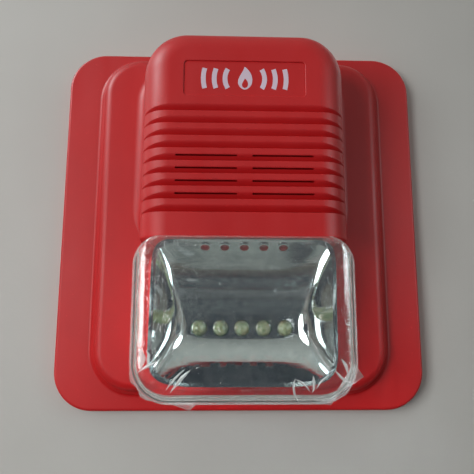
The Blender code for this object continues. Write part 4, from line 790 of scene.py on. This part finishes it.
def squared_oval(half, top, bottom, top_squareness, bottom_squareness, steps=24):
    """Superellipse, anticlockwise from its right side, with its own squareness above and below its middle."""
    middle, reach = (top + bottom) / 2, (top - bottom) / 2
    points = []
    for quadrant in range(4):
        for step in range(steps):
            lean = 2 * step / steps - 1
            turn = (1 + lean * sqrt(abs(lean))) / 2
            across, along = (1 - turn, turn) if quadrant % 2 == 0 else (turn, 1 - turn)
            power = top_squareness if quadrant < 2 else bottom_squareness
            size = (across ** power + along ** power) ** (-1 / power)
            x_side, y_side = (1 if quadrant in (0, 3) else -1), (1 if quadrant < 2 else -1)
            points.append((x_side * half * size * across, middle + y_side * reach * size * along))
    return points


def bowl_loop(share, grow=0.0, drop=0.0):
    """Points round the bowl at a share of the way from its floor to its sloping rim, moved outwards by grow
    and back by drop."""
    top = between(BOWL_FLOOR_TOP, BOWL_RIM_TOP, share) + grow
    bottom = between(BOWL_FLOOR_BOTTOM, BOWL_RIM_BOTTOM, share) - grow
    half_top = between(BOWL_FLOOR_HALF, BOWL_RIM_TOP_HALF, share) + grow
    half_bottom = between(BOWL_FLOOR_HALF, BOWL_RIM_BOTTOM_HALF, share) + grow
    top_squareness = between(BOWL_FLOOR_SQUARENESS, BOWL_TOP_SQUARENESS, share)
    bottom_squareness = between(BOWL_FLOOR_SQUARENESS, BOWL_BOTTOM_SQUARENESS, share)
    loop = []
    for x, y in squared_oval(half_top, top, bottom, top_squareness, bottom_squareness):
        down = (top - y) / (top - bottom)
        rim = between(BOWL_RIM_BOTTOM_Z, BOWL_RIM_TOP_Z, max(0.0, 1 - down) ** BOWL_RIM_DIP)
        rise = (rim - BOWL_FLOOR) * share ** between(BOWL_TOP_POWER, BOWL_BOTTOM_POWER, down)
        x *= between(half_top, half_bottom, down) / half_top
        loop.append((x, min(y, BOWL_TOP_LIMIT), BOWL_FLOOR + rise - drop))
    return loop


def bowl_point(share):
    """Point up the middle of the bowl's top wall."""
    rise = (BOWL_RIM_TOP_Z - BOWL_FLOOR) * share ** BOWL_TOP_POWER
    return Vector((0, between(BOWL_FLOOR_TOP, BOWL_RIM_TOP, share), BOWL_FLOOR + rise))


def reflector():
    """Bowl with two posts behind, five holes for the LEDs and five collared vents in its top wall."""
    shares = [step / 40 for step in range(41)]
    loops = [bowl_loop(0, BOWL_WALL * 0.5, BOWL_WALL)]
    loops += [bowl_loop(share, BOWL_WALL, BOWL_WALL * 0.9) for share in shares[1:]]
    loops.append(bowl_loop(1, BOWL_WALL + BOWL_LIP, BOWL_WALL * 0.5))
    loops.append(bowl_loop(1, BOWL_WALL + BOWL_LIP))
    loops += [bowl_loop(share) for share in reversed(shares)]
    posts, pilots = [], []
    for x in (-LED_SCREW_X, LED_SCREW_X):
        share = (abs(x) - BOWL_FLOOR_HALF) / (BOWL_RIM_TOP_HALF - BOWL_FLOOR_HALF)
        top = BOWL_FLOOR + (BOWL_RIM_BOTTOM_Z - BOWL_FLOOR) * share ** 2 - BOWL_WALL * 0.8
        posts.append(rod(LED_POST_RADIUS, (x, LED_LINE_Y, BOWL_LOW.z), (x, LED_LINE_Y, top)))
        pilots.append(rod(PILOT_RADIUS, (x, LED_LINE_Y, 10 * MM), (x, LED_LINE_Y, top - 1 * MM), 20))
    holes = [rod(LED_RADIUS + GAP, (x, LED_LINE_Y, 15 * MM), (x, LED_LINE_Y, 24 * MM), 40) for x in LED_XS]
    middle = bowl_point(VENT_SHARE)
    slope = (bowl_point(VENT_SHARE + 0.01) - bowl_point(VENT_SHARE - 0.01)).normalized()
    out = Vector((0, -slope.z, slope.y))
    vents, collars = [], []
    for index in (-2, -1, 0, 1, 2):
        centre = middle + Vector((VENT_PITCH * index, 0, 0))
        vents.append(("DIFFERENCE", rod(VENT_RADIUS, centre - out * 3 * MM, centre + out * 3 * MM)))
        collars.append(rod(VENT_RADIUS + VENT_RIM, centre - out * 0.7 * MM, centre + out * 0.45 * MM))
    mesh = combined(skin(loops), ("UNION", merged(posts)), ("UNION", merged(collars)),
                    ("DIFFERENCE", merged(pilots)), ("DIFFERENCE", merged(holes)), *vents)
    piece("reflector_bowl", mesh, "front_unit", CHROME, "chrome_reflector", "reflector")


def leds():
    """Round LEDs: a domed body on a collar."""
    dome = [(LED_RADIUS - below, LED_TOP - across) for across, below in rolled(LED_RADIUS, 14)]
    collar = [(LED_RADIUS, 1.1 * MM), (2.65 * MM, 1 * MM), (2.75 * MM, 0.85 * MM), (2.75 * MM, 0.1 * MM),
              (2.65 * MM, 0), (0, 0)]
    for number, x in enumerate(LED_XS, 1):
        mesh = turned(dome + collar, (x, LED_LINE_Y, LED_LOW.z), 40)
        piece(f"led_dome_{number}", mesh, "front_unit", EPOXY, "led_epoxy", f"led_{number}")


# ---- protective film

def film_path(inset):
    """The lens's outline grown by the film's distance, open along the top: from the left top corner down
    round the bottom and up to the right top corner."""
    points = lens_outline(inset, top=LENS_TOP + FILM_GROW)
    count = len(points) // 4
    right, top_right, top_left, left = (points[count * i:count * (i + 1)] for i in range(4))
    return top_left + left + right + top_right


def film():
    """Thin film over the lens: a face and turned-down sides, creased and lifting at its lower corners."""
    edge = LENS_EDGE + FILM_GROW
    levels = [(-FILM_GROW, FILM_HIGH.z - edge - depth) for depth in FILM_SIDE_DEPTHS]
    levels += [(across - FILM_GROW, FILM_HIGH.z - below) for across, below in rolled(edge, 8, 1)]
    bm = bmesh.new()
    loops = []
    for number, (inset, z) in enumerate(levels):
        loop = []
        skirt = max(0.0, 1 - number / (len(FILM_SIDE_DEPTHS) - 1))
        for x, y in densified(film_path(inset)):
            off_corner = Vector((abs(x) - FILM_CORNER_X, y - FILM_CORNER_Y)) / FILM_CORNER_REACH
            corner = max(0.0, 1 - off_corner.length_squared)
            ripple = noise.noise(Vector((x, y, z)) * 260) * 0.35 * MM
            fold = noise.noise(Vector((x * 1.5, y * 1.5, 7.3)) * 180)
            flare = skirt * (0.25 * MM + ripple + corner * (1.4 + 1.6 * fold) * MM)
            direction = Vector((x, y - LED_LINE_Y)).normalized()
            loop.append(bm.verts.new((x + direction.x * flare, y + direction.y * flare, z)))
        loops.append(loop)
    stitch(bm, loops)
    face = loops[-1]
    half = len(face) // 2
    for index in range(half - 1):
        bm.faces.new((face[index], face[index + 1], face[-2 - index], face[-1 - index]))
    obj = piece("film_sheet", finish_solid(bm), "front_unit", FILM, "clear_film", "protective_film",
                smooth=60, weighted=False)
    thickness = obj.modifiers.new("thickness", "SOLIDIFY")
    thickness.thickness = FILM_THICK
    thickness.offset = -1
    obj.visible_shadow = False


def densified(points):
    """The points with more between them, about one film step apart."""
    dense = []
    for (x0, y0), (x1, y1) in zip(points, points[1:]):
        length = sqrt((x1 - x0) ** 2 + (y1 - y0) ** 2)
        count = max(1, round(length / FILM_STEP))
        dense += [(between(x0, x1, i / count), between(y0, y1, i / count)) for i in range(count)]
    return dense + [points[-1]]


def film_height(x, y):
    """Height of the film's outside over (x, y)."""
    edge, half, bottom = LENS_EDGE + FILM_GROW, LENS_WIDTH / 2 + FILM_GROW, LENS_BOTTOM - FILM_GROW
    radius = LENS_BOTTOM_CORNER + FILM_GROW
    out_x, out_y = abs(x) - (half - radius), bottom + radius - y
    inset = min(half - abs(x), y - bottom)
    if min(out_x, out_y) > 0:
        inset = radius - sqrt(out_x ** 2 + out_y ** 2)
    return FILM_HIGH.z - edge + sqrt(max(0.0, edge ** 2 - max(0.0, edge - inset) ** 2))


def crease(route, width, height):
    """Ridge along a route over the film, pinched to nothing at both ends."""
    start, bend, end = (Vector(point) * MM for point in route)
    shares = [step / 14 for step in range(15)]
    points = [start.lerp(bend, share).lerp(bend.lerp(end, share), share) for share in shares]
    loops = []
    for index, (x, y) in enumerate(points):
        before, after = points[max(0, index - 1)], points[min(len(points) - 1, index + 1)]
        along = Vector((after[0] - before[0], after[1] - before[1])).normalized()
        swell = 0.1 + 0.9 * sin(pi * index / (len(points) - 1))
        wander = noise.noise(Vector((x, y, 0.3)) * 700) * 0.25 * width
        side = Vector((along.y, -along.x)) * width / 2 * swell
        x, y = x + along.y * wander, y - along.x * wander
        z = film_height(x, y)
        root = z - 0.1 * MM
        loops.append([(x - side.x, y - side.y, root), (x + side.x, y + side.y, root),
                      (x + side.x * 0.2, y + side.y * 0.2, z + height * swell)])
    return skin(loops)


def flap(first, second, tip, curl, steps=8):
    """Pinched ear of film: a curled three-cornered sheet that stands off the lens."""
    first, second, tip = (Vector(corner) * MM for corner in (first, second, tip))
    bm = bmesh.new()
    rows = []
    for row in range(steps + 1):
        reach = row / steps
        start, end = first.lerp(tip, reach), second.lerp(tip, reach)
        bow = Vector((0, 0, curl * MM * sin(pi * reach) * 0.6))
        line = []
        for column in range(steps + 1):
            share = column / steps
            wave = Vector((0, 0, curl * MM * sin(2 * pi * share) * (1 - reach) * 0.5))
            line.append(bm.verts.new(start.lerp(end, share) + bow + wave))
        rows.append(line)
    stitch(bm, rows)
    bmesh.ops.solidify(bm, geom=bm.faces, thickness=FILM_THICK)
    return finish_solid(bm)


def film_folds():
    """The film's creases over the lens's lower corners, and the three ears where it has been pinched; their
    film carries a painted glint as a strong whitish haze.
    """
    ridges = [crease(route, width * MM, 0.2 * MM) for width, *route in CREASES]
    ears = [flap(*ear) for ear in EARS]
    for name, meshes in (("film_creases", ridges), ("film_ears", ears)):
        obj = piece(name, merged(meshes), "front_unit", GLINT_PAINTED_FILM, "clear_film", smooth=50, weighted=False)
        obj.visible_shadow = False


# ---- base

def base_outline(inset):
    return outline(BASE_WIDTH - 2 * inset, BASE_HEIGHT - 2 * inset, BASE_TOP_CORNER - inset,
                   BASE_CORNER - inset, centre_y=(BASE_LOW.y + BASE_HIGH.y) / 2)


def cable_outline(grow):
    return outline(CABLE_WAY_WIDTH + 2 * grow, CABLE_WAY_HEIGHT + 2 * grow, CABLE_WAY_CORNER + grow,
                   centre_y=CABLE_WAY_Y)


def flared_hole(outline_at, low, high, edge):
    """Cutter for a hole whose rims are rounded at both faces."""
    round_over = rolled(edge, 4)
    return loft([(outline_at(edge), low - 1 * MM)]
                + [(outline_at(out), low + up) for up, out in round_over]
                + [(outline_at(out), high - down) for out, down in round_over]
                + [(outline_at(edge), high + 1 * MM)])


def slot_tool(x, y, width, height):
    """Cutter for one wall screw's slot."""
    def at(grow):
        end = min(width, height) / 2 + grow - 0.01 * MM
        points = outline(width + 2 * grow, height + 2 * grow, end, steps=10)
        return [(x + px, y + py) for px, py in points]

    return flared_hole(at, 0.0, BASE_FLOOR, 0.25 * MM)


def mounting_base():
    """Tray with a cable way, four screw slots, two stiffening ribs and pins for the front unit's hooks."""
    edge, collar_outline = BASE_EDGE, cable_outline(COLLAR_WALL)
    plate = loft([(base_outline(inward), up) for up, inward in rolled(edge, 4)]
                 + [(base_outline(0), BASE_RIB - edge)] + rounded_edge(base_outline, 0, BASE_RIB, edge, 4))
    tray = extruded(base_outline(BASE_RIB_WIDTH), BASE_FLOOR, BASE_RIB + 1 * MM)
    collar = loft([(collar_outline, 1 * MM), (collar_outline, BASE_RIB - edge)]
                  + rounded_edge(lambda inset: cable_outline(COLLAR_WALL - inset), 0, BASE_RIB, edge, 4))
    slots = [slot_tool(x, y, WALL_SLOT_LENGTH, WALL_SLOT_WIDTH) for x, y in LEVEL_SLOTS]
    slots += [slot_tool(x, y, WALL_SLOT_WIDTH, WALL_SLOT_LENGTH) for x, y in UPRIGHT_SLOTS]
    ribs = [box((x - 0.7 * MM, -60 * MM, 1 * MM), (x + 0.7 * MM, 58 * MM, BASE_RIB), 0.25 * MM)
            for x in (-STIFFENER_X, STIFFENER_X)]
    notches, ears, pins = [], [], []
    half, ear = EYE_WIDTH / 2 + 0.5 * MM, 1.6 * MM
    reach = half + ear / 2
    for x in (-HINGE_X, HINGE_X):
        low = (x - half, HINGE_Y - 2.6 * MM, -1 * MM)
        notches.append(box(low, (x + half, BASE_HIGH.y + 1 * MM, BASE_RIB + 1 * MM)))
        for left in (x - half - ear, x + half):
            low = (left, HINGE_Y - 1.5 * MM, 0.5 * MM)
            ears.append(box(low, (left + ear, HINGE_Y + 1.5 * MM, BASE_RIB), 0.3 * MM))
        pins.append(rod(PIN_RADIUS, (x - reach, HINGE_Y, HINGE_Z), (x + reach, HINGE_Y, HINGE_Z)))
    mesh = combined(plate, ("DIFFERENCE", tray), ("UNION", collar), ("UNION", merged(ribs)),
                    ("DIFFERENCE", flared_hole(cable_outline, 0.0, BASE_RIB, edge)),
                    ("DIFFERENCE", merged(slots)), ("DIFFERENCE", merged(notches)),
                    ("UNION", merged(ears)), ("UNION", merged(pins)))
    piece("base_moulding", mesh, "base", BASE_RED, "base_abs", "mounting_base")


# ---- finishes of the carried-over nodes

def dress_nodes():
    """Gives every CAD node the material of its record's slot."""
    finishes = {
        "circuit_board": BOARD, "plated_steel": STEEL, "black_plastic": BLACK, "terminal_green": GREEN,
        "switch_blue": BLUE, "white_plastic": WHITE, "brass_disc": BRASS, "ceramic": CERAMIC, "foam": FOAM,
        "copper_winding": WINDING, "capacitor_sleeve": SLEEVE, "red_insulation": RED_PVC,
        "black_insulation": BLACK_PVC, "led_epoxy": EPOXY, "red_abs": RED, "base_abs": BASE_RED,
        "clear_lens": LENS_CLEAR, "clear_film": FILM, "chrome_reflector": CHROME}
    slots = {row["node"]: row["material_slot"] for row in frame["record"]["subparts"]}
    for name, obj in frame["nodes"].items():
        obj.data.materials.clear()
        obj.data.materials.append(finishes[slots[name]])


# ---- stage, light, camera

def stage():
    """Plain pale surface that the object lies on, seen only from its front."""
    half, z = 1.6, -0.4 * MM
    mesh = bpy.data.meshes.new("floor")
    corners = [(-half, -half, z), (half, -half, z), (half, half, z), (-half, half, z)]
    mesh.from_pydata(corners, [], [(0, 1, 2, 3)])
    mesh.transform(STAND)
    floor = placed("pale_floor", mesh)
    n = Surface("pale_floor_paint")
    paint = n.mix(n.span(n.noise(14, 3), 0.3, 0.7), (0.50, 0.49, 0.47), (0.54, 0.53, 0.51))
    n.set(Base_Color=paint, Roughness=0.8)
    n.set(Normal=n.bump(n.noise(700, 3), 0.0001, 0.3))
    see = n.add("ShaderNodeBsdfTransparent").outputs["BSDF"]
    n.blended(n.add("ShaderNodeNewGeometry").outputs["Backfacing"], n.shader.outputs["BSDF"], see)
    mesh.materials.append(n.material)
    floor.visible_shadow = False


def area_light(name, place, size, power, colour=(1, 1, 1)):
    """Round lamp that faces the object."""
    data = bpy.data.lights.new(name, "AREA")
    data.shape, data.size, data.energy, data.color = "DISK", size, power, colour
    obj = placed(name, data)
    obj.location = place
    obj.rotation_euler = (-Vector(place)).to_track_quat("-Z", "Y").to_euler()
    return obj


def surroundings():
    """Soft studio surroundings for the object to mirror: pale above, warm and dim below, and dark low in
    front. The camera itself sees a plain backdrop."""
    SCENE.world = bpy.data.worlds.new("studio")
    n = Nodes(SCENE.world)
    direction = n.add("ShaderNodeTexCoord").outputs["Generated"]
    across, away, up = n.add("ShaderNodeSeparateXYZ", {0: direction}).outputs
    above = n.mix(n.span(up, 0.05, 0.9), (0.18, 0.19, 0.18), (0.58, 0.60, 0.56))
    beside = n.mix(n.span(up, -0.6, 0.0), (0.10, 0.088, 0.075), (0.18, 0.16, 0.14))
    room = n.mix(n.span(up, -0.05, 0.05), beside, above)
    wide = n.maths("ADD", n.maths("ABSOLUTE", across), n.maths("MULTIPLY", up, 0.9))
    dark = n.maths("MULTIPLY", n.span(up, 0.10, 0.04), n.span(wide, 0.46, 0.34))
    dark = n.maths("MULTIPLY", dark, n.span(away, 0.0, -0.2))
    seen = n.add("ShaderNodeLightPath").outputs["Is Camera Ray"]
    colour = n.mix(seen, n.mix(dark, room, (0.020, 0.025, 0.036)), (0.50, 0.495, 0.48))
    n.feed(n.tree.nodes["Background"].inputs["Color"], colour)


def camera():
    """Camera at the photograph's viewing angle, low in front of the object and tilted up."""
    data = bpy.data.cameras.new("view")
    data.sensor_width, data.lens = 36, 36.08
    data.clip_start, data.clip_end = 0.01, 10
    obj = placed("view", data)
    pan, tilt, roll = radians(-1.75), radians(8.88), radians(-0.14)
    turn = Matrix.Rotation(pan, 4, "Z") @ Matrix.Rotation(tilt, 4, "X") @ Matrix.Rotation(roll, 4, "Y")
    obj.matrix_world = Matrix.Translation((-0.0070, -0.1897, -0.0339)) @ turn @ STAND
    SCENE.camera = obj


camera()
stage()
surroundings()
area_light("key", (-0.46, -0.54, 0.0), 0.36, 3.0, (1, 0.995, 0.98))
for side, place, power in (("left", (-0.72, -0.30, 0.60), 10), ("right", (0.50, -0.46, 0.10), 1.8)):
    area_light(f"window_{side}", place, 0.26, power, (0.86, 0.97, 1.0)).visible_diffuse = False
area_light("back_left", (-0.5, 0.6, 0.3), 0.6, 4.0)
area_light("back_right", (0.5, 0.6, 0.5), 0.6, 4.0)
dress_nodes()
housing()
mark()
lens()
reflector()
leds()
film()
film_folds()
mounting_base()
SCENE.view_settings.view_transform = "Standard"
SCENE.cycles.transparent_max_bounces = 24
SCENE.cycles.transmission_bounces = 24
SCENE.cycles.max_bounces = 24
